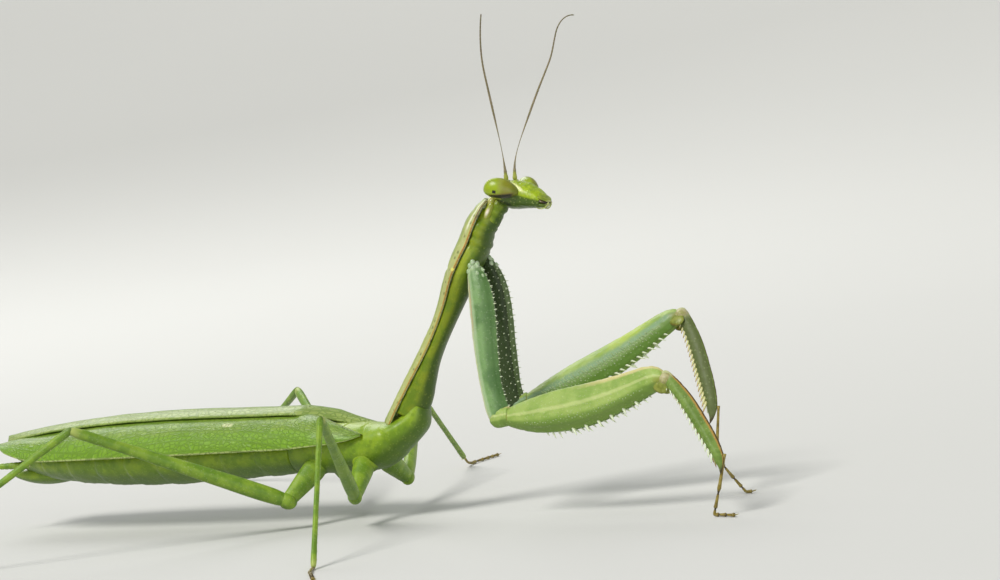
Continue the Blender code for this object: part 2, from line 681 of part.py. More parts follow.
def build_walking_leg(name, ring_of_trunk):
    """One middle or hind leg from its root on the trunk to the foot."""
    plan = WALKING[name]
    kind, side = name.split("_")
    back, out, height = plan["root"]
    thick, thin = WALKING_THICK[kind]
    root = trunk_point(-back, out * SIDES[side], height - TRUNK_HEIGHT)
    hip = root + heading(*plan["coxa"][:2]) * plan["coxa"][2]
    knee = hip + heading(*plan["femur"][:2]) * plan["femur"][2]
    ankle = knee + heading(*plan["tibia"][:2]) * plan["tibia"][2]
    label = f"_{kind}_{side}"
    coxa = walking_limb("coxa" + label, root, plan["coxa"], 1.15, 0.85, "walking_leg")
    femur = walking_limb("femur" + label, hip, plan["femur"], thick, thin + 0.1, "walking_leg")
    tibia = walking_limb("tibia" + label, knee, plan["tibia"], thin + 0.05, thin - 0.08, "walking_leg")
    yaw, pitch = plan["tibia"][:2]
    foot_yaw, foot_length = plan["tarsus"]
    steps = ((yaw, pitch, 1.2), ((yaw + foot_yaw) / 2, -12, 2.2), (foot_yaw, -4, foot_length - 3.4))
    tarsus = build_tarsus("tarsus" + label, ankle + heading(yaw, pitch) * 0.3, steps)
    make_room(coxa, ring_of_trunk)
    make_room(coxa, femur)
    make_room(femur, tibia)
    make_room(tibia, tarsus)


def main():
    """Clear the scene and model the whole animal."""
    for old in list(bpy.data.objects):
        bpy.data.objects.remove(old, do_unlink=True)
    pronotum = build_pronotum()
    prosternum = build_prosternum()
    head = build_head()
    neck = build_neck()
    labrum = build_labrum()
    for side in SIDES:
        make_room(head, build_eye(side))
        antenna = build_antenna(side)
        make_room(antenna, head, 0.05)
        build_mandible(side)
        make_room(build_palp(side), head)
        coxa = build_fore_leg(side)
        make_room(coxa, prosternum)
        make_room(coxa, pronotum)
    make_room(neck, head)
    make_room(neck, pronotum)
    make_room(neck, prosternum)
    rings = {"mid": build_mesothorax(), "hind": build_metathorax()}
    make_room(rings["mid"], pronotum)
    make_room(rings["mid"], prosternum)
    abdomen = build_abdomen()
    ovipositor = build_ovipositor()
    make_room(ovipositor, abdomen)
    for side in SIDES:
        make_room(build_cercus(side), abdomen)
    for name in WINGS:
        build_wing(name)
    for name in WALKING:
        build_walking_leg(name, rings[name.split("_")[0]])


main()
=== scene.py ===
"""Praying mantis, life size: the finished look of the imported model.

Every piece is modelled in millimetres in its own frame, with X along the limb or plate,
and is then laid in the shared frame: +X towards the head, +Y to the animal's left, +Z up.
Two attributes go with each piece for its finish to read: own_place, the millimetres in
the piece's own frame, and own_section, the place round its section and along it.
"""

import logging
import math
from dataclasses import dataclass
from enum import Enum
from typing import Any, Iterable, Sequence

import bmesh
import bpy
from mathutils import Euler, Matrix, Vector, noise

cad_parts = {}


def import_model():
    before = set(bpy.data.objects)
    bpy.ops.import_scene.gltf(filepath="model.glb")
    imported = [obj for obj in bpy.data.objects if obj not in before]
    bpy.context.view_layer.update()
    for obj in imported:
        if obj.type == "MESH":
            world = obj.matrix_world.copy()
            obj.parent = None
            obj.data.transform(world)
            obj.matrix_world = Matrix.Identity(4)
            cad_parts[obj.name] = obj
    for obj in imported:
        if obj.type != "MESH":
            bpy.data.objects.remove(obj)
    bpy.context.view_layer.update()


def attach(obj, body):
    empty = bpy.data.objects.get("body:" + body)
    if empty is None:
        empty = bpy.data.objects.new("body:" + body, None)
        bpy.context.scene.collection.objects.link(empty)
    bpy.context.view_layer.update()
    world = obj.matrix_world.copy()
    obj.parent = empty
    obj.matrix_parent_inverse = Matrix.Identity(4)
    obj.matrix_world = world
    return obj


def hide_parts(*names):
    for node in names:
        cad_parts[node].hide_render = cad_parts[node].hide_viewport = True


LOG = logging.getLogger("mantis")
MM = 0.001
HINGE = Vector((8.3, -2.0, 12.0))  # joint between the raised and the level thorax
TRUNK_OFFSET_Y = -0.35
TRUNK_HEIGHT = 7.9
PROTHORAX_TURN = (16.8, 57.84)  # yaw and pitch of the raised thorax
HEAD_SPOT = HINGE + Vector((14.03, 4.22, 21.0))
HEAD_TURN = (16.5, 69.3, -21.5)
HEAD_GLANCE = -3.0  # degrees that the face is turned to the animal's right

Table = tuple[tuple[float, float], ...]
Piece = bpy.types.Object
Ring = list[tuple[Vector, Vector]]  # points with their own_section


class Side(Enum):
    """The animal's own right and left."""

    RIGHT = "right"
    LEFT = "left"

    @property
    def sign(self) -> int:
        """Minus one on the right, where Y is negative."""
        return -1 if self is Side.RIGHT else 1


class Channel(Enum):
    """A measure that a finish can read: an attribute and one of its components."""

    AHEAD = ("own_place", 0)  # millimetres along the piece
    ACROSS = ("own_place", 1)  # millimetres across it
    RISE = ("own_place", 2)  # millimetres above its axis
    OUTER = ("own_section", 0)  # 1 on the outer face, -1 on the inner
    UPPER = ("own_section", 1)  # 1 along the upper edge, -1 along the lower
    SHARE = ("own_section", 2)  # 0 at the root, 1 at the end

# ---------------------------------------------------------------- measures


def profile(table: Table, at: float) -> float:
    """Read a size table at a station, on one smooth curve through its entries.

    Args:
        table: Pairs of station and size, in rising order of station.
        at: The station to read.

    Returns:
        The size there, held level beyond both ends.
    """
    if at <= table[0][0]:
        return table[0][1]
    if at >= table[-1][0]:
        return table[-1][1]
    slopes = [(b[1] - a[1]) / (b[0] - a[0]) for a, b in zip(table, table[1:])]
    tangents = [slopes[0]]
    for before, after in zip(slopes, slopes[1:]):
        tangents.append(0.0 if before * after <= 0 else (before + after) / 2)
    tangents.append(slopes[-1])
    i = max(k for k in range(len(table) - 1) if table[k][0] <= at)
    (low, start), (high, end) = table[i], table[i + 1]
    span = high - low
    t = (at - low) / span
    return (
        start * (2 * t**3 - 3 * t**2 + 1)
        + tangents[i] * span * (t**3 - 2 * t**2 + t)
        + end * (3 * t**2 - 2 * t**3)
        + tangents[i + 1] * span * (t**3 - t**2)
    )


def spread(start: float, end: float, count: int) -> list[float]:
    """Evenly spaced stations, both ends included."""
    return [start + (end - start) * i / (count - 1) for i in range(count)]


def ramp(value: float, start: float, end: float) -> float:
    """Even rise from 0 at the start to 1 at the end."""
    return min(1.0, max(0.0, (value - start) / (end - start)))


def circle(count: int) -> list[tuple[float, float]]:
    """Cosine and sine of evenly spaced angles all round."""
    angles = [math.tau * i / count for i in range(count)]
    return [(math.cos(angle), math.sin(angle)) for angle in angles]


def bell(distance: float) -> float:
    """A smooth hump: 1 at nought, falling to 0 at a distance of 1."""
    return (1 - distance * distance) ** 2 if abs(distance) < 1 else 0.0


def squared(unit: float, power: float) -> float:
    """Sine or cosine of an oval that is squarer the further its power is above 2."""
    return math.copysign(abs(unit) ** (2 / power), unit)


def heading(yaw: float, pitch: float) -> Vector:
    """Unit vector of a yaw and a pitch in degrees."""
    yaw, pitch = math.radians(yaw), math.radians(pitch)
    flat = math.cos(pitch)
    return Vector((flat * math.cos(yaw), flat * math.sin(yaw), math.sin(pitch)))


def placement(spot: Vector, yaw: float, pitch: float, roll: float = 0.0) -> Matrix:
    """Frame of a piece, in millimetres, with X along a heading.

    Args:
        spot: Where the piece's own origin goes.
        yaw: Turn from +X towards +Y, in degrees.
        pitch: Rise from the level, in degrees.
        roll: Turn about the piece's own X, in degrees.

    Returns:
        The matrix from the piece's frame to the shared frame.
    """
    turn = Euler((math.radians(roll), math.radians(-pitch), math.radians(yaw)), "XYZ")
    return Matrix.Translation(spot) @ turn.to_matrix().to_4x4()


def shifted(frame: Matrix, spot: Sequence[float]) -> Matrix:
    """A frame moved to a spot that is given along its own axes."""
    return frame @ Matrix.Translation(spot)


def turned(frame: Matrix, degrees: float, axis: str) -> Matrix:
    """A frame turned about one of its own axes."""
    return frame @ Matrix.Rotation(math.radians(degrees), 4, axis)


def thorax_frame() -> Matrix:
    """Frame of the raised prothorax."""
    return placement(HINGE, *PROTHORAX_TURN)


def head_frame() -> Matrix:
    """Frame of the head: X out of the face, Y to the left, Z to the crown."""
    return turned(placement(HEAD_SPOT, *HEAD_TURN), HEAD_GLANCE, "Z")


def trunk_point(back: float, out: float = 0.0, rise: float = 0.0) -> Vector:
    """Point beside the level rear trunk, measured back from the hinge."""
    return Vector((HINGE.x - back, HINGE.y + TRUNK_OFFSET_Y + out, TRUNK_HEIGHT + rise))


# ---------------------------------------------------------------- modelling


@dataclass(frozen=True)
class Section:
    """One cross-section of a limb, in millimetres from the limb's axis."""

    at: float
    half: float
    top: float
    bottom: float

    @property
    def high(self) -> float:
        """Half of the whole height."""
        return (self.top + self.bottom) / 2

    @property
    def middle(self) -> float:
        """Height of the centre above the axis."""
        return (self.top - self.bottom) / 2


@dataclass(frozen=True)
class Ridge:
    """A line raised, or pressed in, along a limb at one angle round its section."""

    angle: float  # degrees from the outer face, 90 along the upper edge
    width: float  # degrees
    heights: Table  # share of the length, millimetres


def shaped(length: float, closing: Table, *tables: Table) -> list[Section]:
    """Read a limb's sections from tables of its half width, top and bottom.

    Args:
        length: Length of the limb.
        closing: Share of the length at each section, and how far it is drawn in.
        *tables: Sizes by share of the length.

    Returns:
        The sections in order.
    """
    return [Section(t * length, *(profile(table, t) * close for table in tables))
            for t, close in closing]


def select_only(*pieces: Piece) -> None:
    """Select these pieces alone, the first one active."""
    bpy.ops.object.select_all(action="DESELECT")
    for piece in pieces:
        piece.select_set(True)
    bpy.context.view_layer.objects.active = pieces[0]


def smooth_over(piece: Piece, levels: int) -> None:
    """Subdivide a piece smoothly and keep the result.

    Args:
        piece: The piece to round off.
        levels: How many times its faces are divided.
    """
    select_only(piece)
    rounding = piece.modifiers.new("rounding", "SUBSURF")
    rounding.levels = rounding.render_levels = levels
    bpy.ops.object.modifier_apply(modifier=rounding.name)


def write_marks(piece: Piece, marks: Sequence[tuple[Vector, Vector]]) -> None:
    """Store own_place and own_section on a piece's points.

    Args:
        piece: The piece, with its final points.
        marks: The pair of vectors of each point.
    """
    for k, label in enumerate(("own_place", "own_section")):
        layer = piece.data.attributes.new(label, "FLOAT_VECTOR", "POINT")
        layer.data.foreach_set("vector", [x for mark in marks for x in mark[k]])


def settle(piece: Piece, frame: Matrix) -> Piece:
    """Lay a piece, modelled in metres in its own frame, in the shared frame.

    Args:
        piece: The piece.
        frame: Its frame, in millimetres.

    Returns:
        The piece, its object at the origin, shaded smooth.
    """
    select_only(piece)
    scaled = frame.copy()
    scaled.translation = frame.translation * MM
    piece.matrix_world = scaled
    bpy.ops.object.transform_apply(location=True, rotation=True, scale=True)
    bpy.ops.object.shade_smooth()
    return piece


def extrude_through(spot: Vector, steps: Iterable[tuple[Vector, Sequence[float]]]) -> None:
    """Draw the selected face out from spot to spot, resizing it at each.

    Args:
        spot: Where the face is.
        steps: Each spot that it passes, with its resize there.
    """
    for target, size in steps:
        if target != spot:
            bpy.ops.mesh.extrude_region_move(TRANSFORM_OT_translate={"value": target - spot})
        bpy.ops.transform.resize(value=size, center_override=target)
        spot = target


def close_up() -> None:
    """Leave edit mode with every face of the active piece turned outwards."""
    bpy.ops.mesh.select_all(action="SELECT")
    bpy.ops.mesh.normals_make_consistent(inside=False)
    bpy.ops.object.mode_set(mode="OBJECT")


def extrude_limb(name: str, sections: Sequence[Section], sides: int) -> Piece:
    """Draw out a limb from its first section to its last along X.

    Args:
        name: Name of the piece.
        sections: The cross-sections in order.
        sides: Corners of each section.

    Returns:
        The closed cage, before rounding.
    """
    swell = 2 / 3 + math.cos(math.tau / sides) / 3  # rounding draws corners in
    half = high = swell
    steps = []
    for section in sections:
        target = Vector((section.at, 0, section.middle)) * MM
        steps.append((target, (1.0, section.half / half, section.high / high)))
        half, high = section.half, section.high
    bpy.ops.object.select_all(action="DESELECT")
    bpy.ops.mesh.primitive_circle_add(vertices=sides, radius=MM, fill_type="NGON",
                                      location=steps[0][0], rotation=(0, math.pi / 2, 0))
    piece = bpy.context.object
    piece.name = piece.data.name = name
    bpy.ops.object.transform_apply(location=True, rotation=True, scale=True)
    bpy.ops.object.mode_set(mode="EDIT")
    bpy.ops.mesh.select_mode(type="FACE")
    bpy.ops.mesh.select_all(action="SELECT")
    extrude_through(steps[0][0], steps)
    close_up()
    return piece


@dataclass
class Limb:
    """A stretch of leg or body drawn out along its own X axis."""

    name: str
    sections: Sequence[Section]
    frame: Matrix
    side: Side = Side.LEFT
    ridges: Sequence[Ridge] = ()
    sides: int = 12
    levels: int = 2
    roughen: float = 0.0  # height of fine irregular relief, millimetres

    def section_at(self, at: float) -> Section:
        """Blend the two sections on either side of a station."""
        row = self.sections
        if at <= row[0].at:
            return row[0]
        for a, b in zip(row, row[1:]):
            if at <= b.at:
                t = (at - a.at) / max(b.at - a.at, 1e-6)
                pairs = ((a.half, b.half), (a.top, b.top), (a.bottom, b.bottom))
                return Section(at, *(x + (y - x) * t for x, y in pairs))
        return row[-1]

    def raised(self, share: float, angle: float) -> float:
        """Height that the ridges add at a place."""
        lift = 0.0
        for ridge in self.ridges:
            apart = (angle - ridge.angle + 180) % 360 - 180
            lift += bell(apart / ridge.width) * profile(ridge.heights, share)
        return lift

    def outward(self, angle: float, ahead: float = 0.0) -> Vector:
        """Way out of the skin at an angle, leaning ahead by a share."""
        turn = math.radians(angle)
        return Vector((ahead, math.cos(turn) * self.side.sign, math.sin(turn)))

    def surface(self, share: float, angle: float, sunk: float = 0.0) -> Vector:
        """Point on the limb's skin, in its own frame.

        Args:
            share: Place along the limb, 0 to 1.
            angle: Degrees from the outer face, 90 along the upper edge.
            sunk: Millimetres below the skin.

        Returns:
            The point, in millimetres.
        """
        first, last = self.sections[0].at, self.sections[-1].at
        here = self.section_at(first + (last - first) * share)
        lift = self.raised(share, angle) - sunk
        _, y, z = self.outward(angle)
        at = first + (last - first) * share
        return Vector((at, y * (here.half + lift), here.middle + z * (here.high + lift)))

    def model(self) -> Piece:
        """Draw the limb, round it off, mark it, raise its ridges and lay it in place."""
        piece = extrude_limb(self.name, self.sections, self.sides)
        smooth_over(piece, self.levels)
        marks = []
        for vert in piece.data.vertices:
            own = vert.co / MM
            here = self.section_at(own.x)
            share = ramp(own.x, self.sections[0].at, self.sections[-1].at)
            across = own.y / max(here.half, 0.05) * self.side.sign
            up = (own.z - here.middle) / max(here.high, 0.05)
            size = max(math.hypot(across, up), 1e-3)
            lift = self.roughen * noise.noise(own * 2.2)
            lift += self.raised(share, math.degrees(math.atan2(up, across)))
            lift *= min(1.0, size * 1.1)
            vert.co.y += lift * MM * across / size * self.side.sign
            vert.co.z += lift * MM * up / size
            marks.append((own, Vector((across / size, up / size, share))))
        write_marks(piece, marks)
        return settle(piece, self.frame)


def lay_rows(name: str, rows: Sequence[Ring], frame: Matrix) -> Piece:
    """Skin a free-form plate ring by ring, where no primitive has its outline.

    Args:
        name: Name of the piece.
        rows: Equal rings of points, each in millimetres with its own_section.
        frame: Where the piece goes.

    Returns:
        The finished piece, capped at both ends.
    """
    bm = bmesh.new()
    grid = [[bm.verts.new(point * MM) for point, _ in row] for row in rows]
    for near, far in zip(grid, grid[1:]):
        for i in range(len(near)):
            j = (i + 1) % len(near)
            bm.faces.new((near[i], near[j], far[j], far[i]))
    bm.faces.new(list(reversed(grid[0])))
    bm.faces.new(grid[-1])
    bmesh.ops.recalc_face_normals(bm, faces=bm.faces)
    mesh = bpy.data.meshes.new(name)
    bm.to_mesh(mesh)
    bm.free()
    piece = bpy.data.objects.new(name, mesh)
    bpy.context.scene.collection.objects.link(piece)
    write_marks(piece, [pair for row in rows for pair in row])
    return settle(piece, frame)


def lay_oval(frame: Matrix, half: float, top: float, bottom: float, share: float) -> Ring:
    """Lay one oval ring of the thorax's rear, with its own_section."""
    row = []
    for c, s in circle(48):
        z = (top if s > 0 else bottom) * squared(s, 2.2)
        place = frame @ Vector((0, half * squared(c, 2.2), z))
        place += Vector((0, c, s)) * 0.05 * noise.noise(place * 0.9)
        row.append((place, Vector((c, s, share))))
    return row


def draw_thread(name: str, points: Sequence[Vector], radii: Sequence[float], frame: Matrix,
                joints: Sequence[float] = (), sides: int = 10) -> Piece:
    """Draw a tube of changing thickness along a path.

    Args:
        name: Name of the piece.
        points: The path, in millimetres in the piece's own frame.
        radii: Radius at each point.
        frame: Where the piece goes.
        joints: Distances along the path that the finish darkens.
        sides: Even number of corners round the tube.

    Returns:
        The finished piece, with UPPER holding closeness to a joint.
    """
    curve = bpy.data.curves.new(name, "CURVE")
    curve.dimensions = "3D"
    curve.bevel_depth = MM
    curve.bevel_resolution = (sides - 4) // 2
    ring = (points[0] - points[-1]).length < 1e-6
    curve.use_fill_caps = not ring
    line = curve.splines.new("POLY")
    line.use_cyclic_u = ring
    line.points.add(len(points) - 1 - ring)
    for knot, point, radius in zip(line.points, points, radii):
        knot.co = (*(point * MM), 1.0)
        knot.radius = radius
    drawn = bpy.data.objects.new(name, curve)
    bpy.context.scene.collection.objects.link(drawn)
    select_only(drawn)
    bpy.ops.object.convert(target="MESH")
    piece = bpy.context.object
    bpy.ops.object.mode_set(mode="EDIT")
    bpy.ops.mesh.select_all(action="SELECT")
    bpy.ops.mesh.remove_doubles(threshold=1e-7)  # joins the caps to the tube
    close_up()
    travelled = [0.0]
    for a, b in zip(points, points[1:]):
        travelled.append(travelled[-1] + (b - a).length)
    marks = []
    for vert in piece.data.vertices:
        own = vert.co / MM
        i = min(range(len(points)), key=lambda k: (points[k] - own).length_squared)
        gap = min((abs(travelled[i] - joint) for joint in joints), default=9.0)
        spot = Vector((travelled[i], own.y - points[i].y, own.z - points[i].z))
        marks.append((spot, Vector((0.0, math.exp(-gap * 5), travelled[i] / travelled[-1]))))
    write_marks(piece, marks)
    return settle(piece, frame)


def stretch_half(piece: Piece, axis: int, ratio: float) -> None:
    """Resize the half of a piece that lies below one of its own axes.

    Args:
        piece: The piece, about its own origin.
        axis: 0, 1 or 2 for X, Y or Z.
        ratio: How far that half is drawn out.
    """
    for vert in piece.data.vertices:
        vert.select = vert.co[axis] < -1e-7
    bpy.ops.object.mode_set(mode="EDIT")
    value = [ratio if k == axis else 1 for k in range(3)]
    bpy.ops.transform.resize(value=value, center_override=(0, 0, 0))
    bpy.ops.mesh.select_all(action="DESELECT")
    bpy.ops.object.mode_set(mode="OBJECT")


def bead(name: str, sizes: Vector, frame: Matrix, side: Side, fine: int = 24,
         drawn: Vector = Vector((1, 1, 1)), taper: float = 0.0) -> Piece:
    """Model a rounded bead: a sphere resized in edit mode.

    Args:
        name: Name of the piece.
        sizes: Half sizes along its own axes, in millimetres.
        frame: Where the bead goes.
        side: Side of the body, so that own_place counts outwards.
        fine: Faces round it.
        drawn: How far the half below each axis is drawn out, 1 for not at all.
        taper: How much narrower along X its lower end is, and its upper end half as much wider.

    Returns:
        The finished bead.
    """
    bpy.ops.object.select_all(action="DESELECT")
    bpy.ops.mesh.primitive_uv_sphere_add(segments=fine, ring_count=fine // 2, radius=MM)
    piece = bpy.context.object
    piece.name = piece.data.name = name
    bpy.ops.object.mode_set(mode="EDIT")
    bpy.ops.mesh.select_all(action="SELECT")
    bpy.ops.transform.resize(value=tuple(sizes), center_override=(0, 0, 0))
    bpy.ops.mesh.select_mode(type="VERT")
    bpy.ops.mesh.select_all(action="DESELECT")
    bpy.ops.object.mode_set(mode="OBJECT")
    for axis in range(3):
        if drawn[axis] != 1:
            stretch_half(piece, axis, drawn[axis])
    for vert in piece.data.vertices:
        low = min(0.0, vert.co.z / (sizes.z * drawn.z * MM))
        high = max(0.0, vert.co.z / (sizes.z * MM))
        vert.co.x *= 1 - taper * low**2 + taper * 0.5 * high**2
    marks = []
    for vert in piece.data.vertices:
        own = vert.co / MM
        own.y *= side.sign
        unit = Vector((own.x / sizes.x, own.y / sizes.y, own.z / sizes.z))
        marks.append((own, Vector((unit.y, unit.z, (unit.x + 1) / 2))))
    write_marks(piece, marks)
    return settle(piece, frame)


def join_pieces(name: str, pieces: Sequence[Piece]) -> Piece:
    """Join finished pieces into one and name it."""
    select_only(*pieces)
    bpy.ops.object.join()
    joined = bpy.context.object
    joined.name = joined.data.name = name
    return joined


@dataclass(frozen=True)
class Planting:
    """Where one spine grows: root and heading in the limb's frame, in millimetres."""

    root: Vector
    way: Vector
    length: float
    girth: float


def model_spine(bend: float, sides: int) -> Piece:
    """Model one spine, a unit long and wide, drawn up from a disc and bent forwards.

    Args:
        bend: How far the tip leans, as a share of the length.
        sides: Corners of the disc.

    Returns:
        The spine, to be copied.
    """
    bpy.ops.object.select_all(action="DESELECT")
    bpy.ops.mesh.primitive_circle_add(vertices=sides, radius=0.5, fill_type="NGON")
    spine = bpy.context.object
    bpy.ops.object.mode_set(mode="EDIT")
    bpy.ops.mesh.select_mode(type="FACE")
    bpy.ops.mesh.select_all(action="SELECT")
    steps = ((0.25, 0.8), (0.55, 0.7), (0.82, 0.55), (1.0, 0.25))
    extrude_through(Vector((0, 0, 0)), [(Vector((bend * rise * rise, 0, rise)), (shrink, shrink, 1.0))
                                        for rise, shrink in steps])
    close_up()
    write_marks(spine, [(vert.co.copy(), Vector((0, 0, vert.co.z)))
                        for vert in spine.data.vertices])
    return spine


def plant(name: str, spots: Iterable[Planting], frame: Matrix, bend: float,
          sides: int = 6) -> Piece:
    """Grow a spine at every spot and join them into one piece.

    Args:
        name: Name of the joined piece.
        spots: Where the spines grow.
        frame: The limb's frame.
        bend: How far each tip leans, as a share of its length.
        sides: Corners of each spine.

    Returns:
        The joined piece.
    """
    spine = model_spine(bend, sides)
    copies = []
    scaled = frame.copy()
    scaled.translation = frame.translation * MM
    for spot in spots:
        copy = spine.copy()
        copy.data = spine.data.copy()
        bpy.context.scene.collection.objects.link(copy)
        turn = spot.way.normalized().to_track_quat("Z", "X").to_matrix().to_4x4()
        size = Matrix.Diagonal((spot.girth * MM, spot.girth * MM, spot.length * MM, 1))
        copy.matrix_world = scaled @ Matrix.Translation(spot.root * MM) @ turn @ size
        copies.append(copy)
    bpy.data.objects.remove(spine)
    joined = join_pieces(name, copies)
    bpy.ops.object.transform_apply(location=True, rotation=True, scale=True)
    bpy.ops.object.shade_smooth()
    return joined


def foot_knots(point: Vector, runs: Sequence[Sequence[float]], rest: float = 0.22) -> list[Vector]:
    """Follow a foot down to the ground and along it.

    Args:
        point: Where it leaves the shin.
        runs: Yaw, pitch and length of each stretch.
        rest: Height of its axis where it rests.

    Returns:
        The start, and the middle and end of each stretch.
    """
    knots = [point]
    for yaw, pitch, length in runs:
        for _ in range(2):
            point = point + heading(yaw, pitch) * length * 0.5
            point.z = max(point.z, rest)
            knots.append(point)
    return knots


def model_foot(name: str, knots: Sequence[Vector]) -> Piece:
    """Model a foot of five joints that narrow at each end, with its two claws.

    Args:
        name: Name of the piece.
        knots: The run from the shin to the tip, in the shared frame.

    Returns:
        The foot.
    """
    legs = [(b - a).length for a, b in zip(knots, knots[1:])]
    total = sum(legs) - 0.55  # the claws take up the rest
    shares = (0.0, 0.44, 0.62, 0.76, 0.87, 1.0)
    points, radii = [], []
    for first, last in zip(shares, shares[1:]):
        for t in (i / 8 for i in range(8)):
            reach = (first + (last - first) * t) * total
            k = 0
            while k < len(legs) - 1 and reach > legs[k]:
                reach -= legs[k]
                k += 1
            points.append(knots[k].lerp(knots[k + 1], reach / legs[k]))
            radii.append(0.13 + 0.07 * t**1.5 + 0.02 * (t > 0.8) - 0.05 * (t == 0))
    radii[0] = 0.16
    foot = draw_thread(name, points, radii, Matrix(), [share * total for share in shares[1:-1]])
    way = (knots[-1] - knots[-2]).normalized()
    aside = Vector((-way.y, way.x, 0)).normalized() * 0.55
    spots = [Planting(points[-1], way + aside * sign, 0.55, 0.16) for sign in (-1, 1)]
    return join_pieces(name, (foot, plant(name + "_claws", spots, Matrix(), 0.6)))


# ---------------------------------------------------------------- finishes


def linear(code: str) -> tuple[float, ...]:
    """Turn an sRGB hex colour into linear red, green and blue, with an alpha of 1."""
    parts = [int(code[i : i + 2], 16) / 255 for i in (0, 2, 4)]
    return (*(x / 12.92 if x <= 0.04045 else ((x + 0.055) / 1.055) ** 2.4 for x in parts), 1.0)


def feed(node: bpy.types.Node, feeds: dict[Any, Any]) -> None:
    """Link sockets, and set plain values, on a node's inputs.

    Args:
        node: The node.
        feeds: For each input, a socket to link or a plain value.
    """
    for label, value in feeds.items():
        if isinstance(value, bpy.types.NodeSocket):
            node.id_data.links.new(value, node.inputs[label])
        else:
            node.inputs[label].default_value = value


def add_node(tree: bpy.types.NodeTree, kind: str, feeds: dict[Any, Any] | None = None,
             **settings: Any) -> bpy.types.Node:
    """Add a shader node with its settings and what feeds it.

    Args:
        tree: The material's node tree.
        kind: The node's type, after ShaderNode.
        feeds: For each input, a socket to link or a plain value.
        **settings: Properties of the node.

    Returns:
        The new node.
    """
    node = tree.nodes.new("ShaderNode" + kind)
    for label, value in settings.items():
        setattr(node, label, value)
    feed(node, feeds or {})
    return node


class Wiring:
    """The node tree of one material, with the few patterns that its finish is built from."""

    def __init__(self, name: str) -> None:
        """Start a material on its plain shader."""
        self.made = bpy.data.materials.new(name)
        self.made.use_nodes = True
        self.tree = self.made.node_tree
        self.shader = self.tree.nodes["Principled BSDF"]

    def math(self, operation: str, *values: Any) -> Any:
        """Work out one sum of sockets and numbers."""
        return add_node(self.tree, "Math", dict(enumerate(values)), operation=operation).outputs[0]

    def fade(self, value: Any, start: float, full: float, kind: str = "SMOOTHSTEP",
             low: float = 0.0, high: float = 1.0) -> Any:
        """Step from low at the start to high where it is full."""
        feeds = {"Value": value, "From Min": start, "From Max": full, "To Min": low, "To Max": high}
        return add_node(self.tree, "MapRange", feeds, interpolation_type=kind).outputs["Result"]

    def noise(self, place: Any, size: float, detail: float) -> Any:
        """Cloudy noise whose clouds are about size millimetres across."""
        feeds = {"Vector": place, "Scale": 1 / size, "Detail": detail, "Roughness": 0.55}
        return add_node(self.tree, "TexNoise", feeds).outputs["Fac"]

    def cells(self, place: Any, gap: float) -> Any:
        """Distance from scattered points that are about gap millimetres apart."""
        feeds = {"Vector": place, "Scale": 1 / gap}
        return add_node(self.tree, "TexVoronoi", feeds).outputs["Distance"]

    def blend(self, factor: Any, under: Any, over: Any) -> Any:
        """Mix two colours by a factor."""
        return add_node(self.tree, "Mix", {0: factor, 6: under, 7: over}, data_type="RGBA").outputs[2]

    def bump(self, height: Any, strength: float, drop: float, **under: Any) -> Any:
        """Raise the surface by a height, over another bump where one is given."""
        feeds = {"Height": height, "Strength": strength, "Distance": drop, **under}
        return add_node(self.tree, "Bump", feeds).outputs[0]


Fades = tuple[float, ...]  # where a marking starts and where it is full, pair after pair
CHITIN_INDEX = 1.56  # refractive index
PIT_DEPTH = 3e-5  # metres
VEIN_RISE = 6e-5
GLOW_DEPTH = 5e-4
GLOW_SPREAD = (0.6, 1.0, 0.25)  # green light travels furthest inside chitin


@dataclass(frozen=True)
class Marking:
    """A colour laid where all of its fades agree."""

    colour: str
    strength: float = 1.0
    ragged: float = 0.0  # how far its edges wander
    speck: float = 0.0  # millimetres between its specks, nought where it is even
    lean: float = 0.0  # how much of RISE is added to AHEAD and OUTER, for a slanted edge
    ahead: Fades = ()
    across: Fades = ()
    rise: Fades = ()
    outer: Fades = ()
    upper: Fades = ()
    share: Fades = ()

    def mask(self, wiring: Wiring, channels: dict[Channel, Any], wander: Any, place: Any) -> Any:
        """Build the mask of this marking.

        Args:
            wiring: The material's nodes.
            channels: Socket of each channel.
            wander: Noise centred on nought, for ragged edges.
            place: The vector in millimetres.

        Returns:
            The socket that holds the mask.
        """
        mask: Any = self.strength
        if self.speck:
            specks = wiring.fade(wiring.cells(place, self.speck), 0.36, 0.22, "LINEAR")
            mask = wiring.math("MULTIPLY", specks, mask)
        for channel, value in channels.items():
            fades = getattr(self, channel.name.lower())
            if fades and self.ragged:
                value = wiring.math("MULTIPLY_ADD", wander, self.ragged, value)
            if fades and self.lean and channel in (Channel.AHEAD, Channel.OUTER):
                value = wiring.math("MULTIPLY_ADD", channels[Channel.RISE], self.lean, value)
            for start, full in zip(fades[::2], fades[1::2]):
                mask = wiring.math("MULTIPLY", mask, wiring.fade(value, start, full))
        return mask


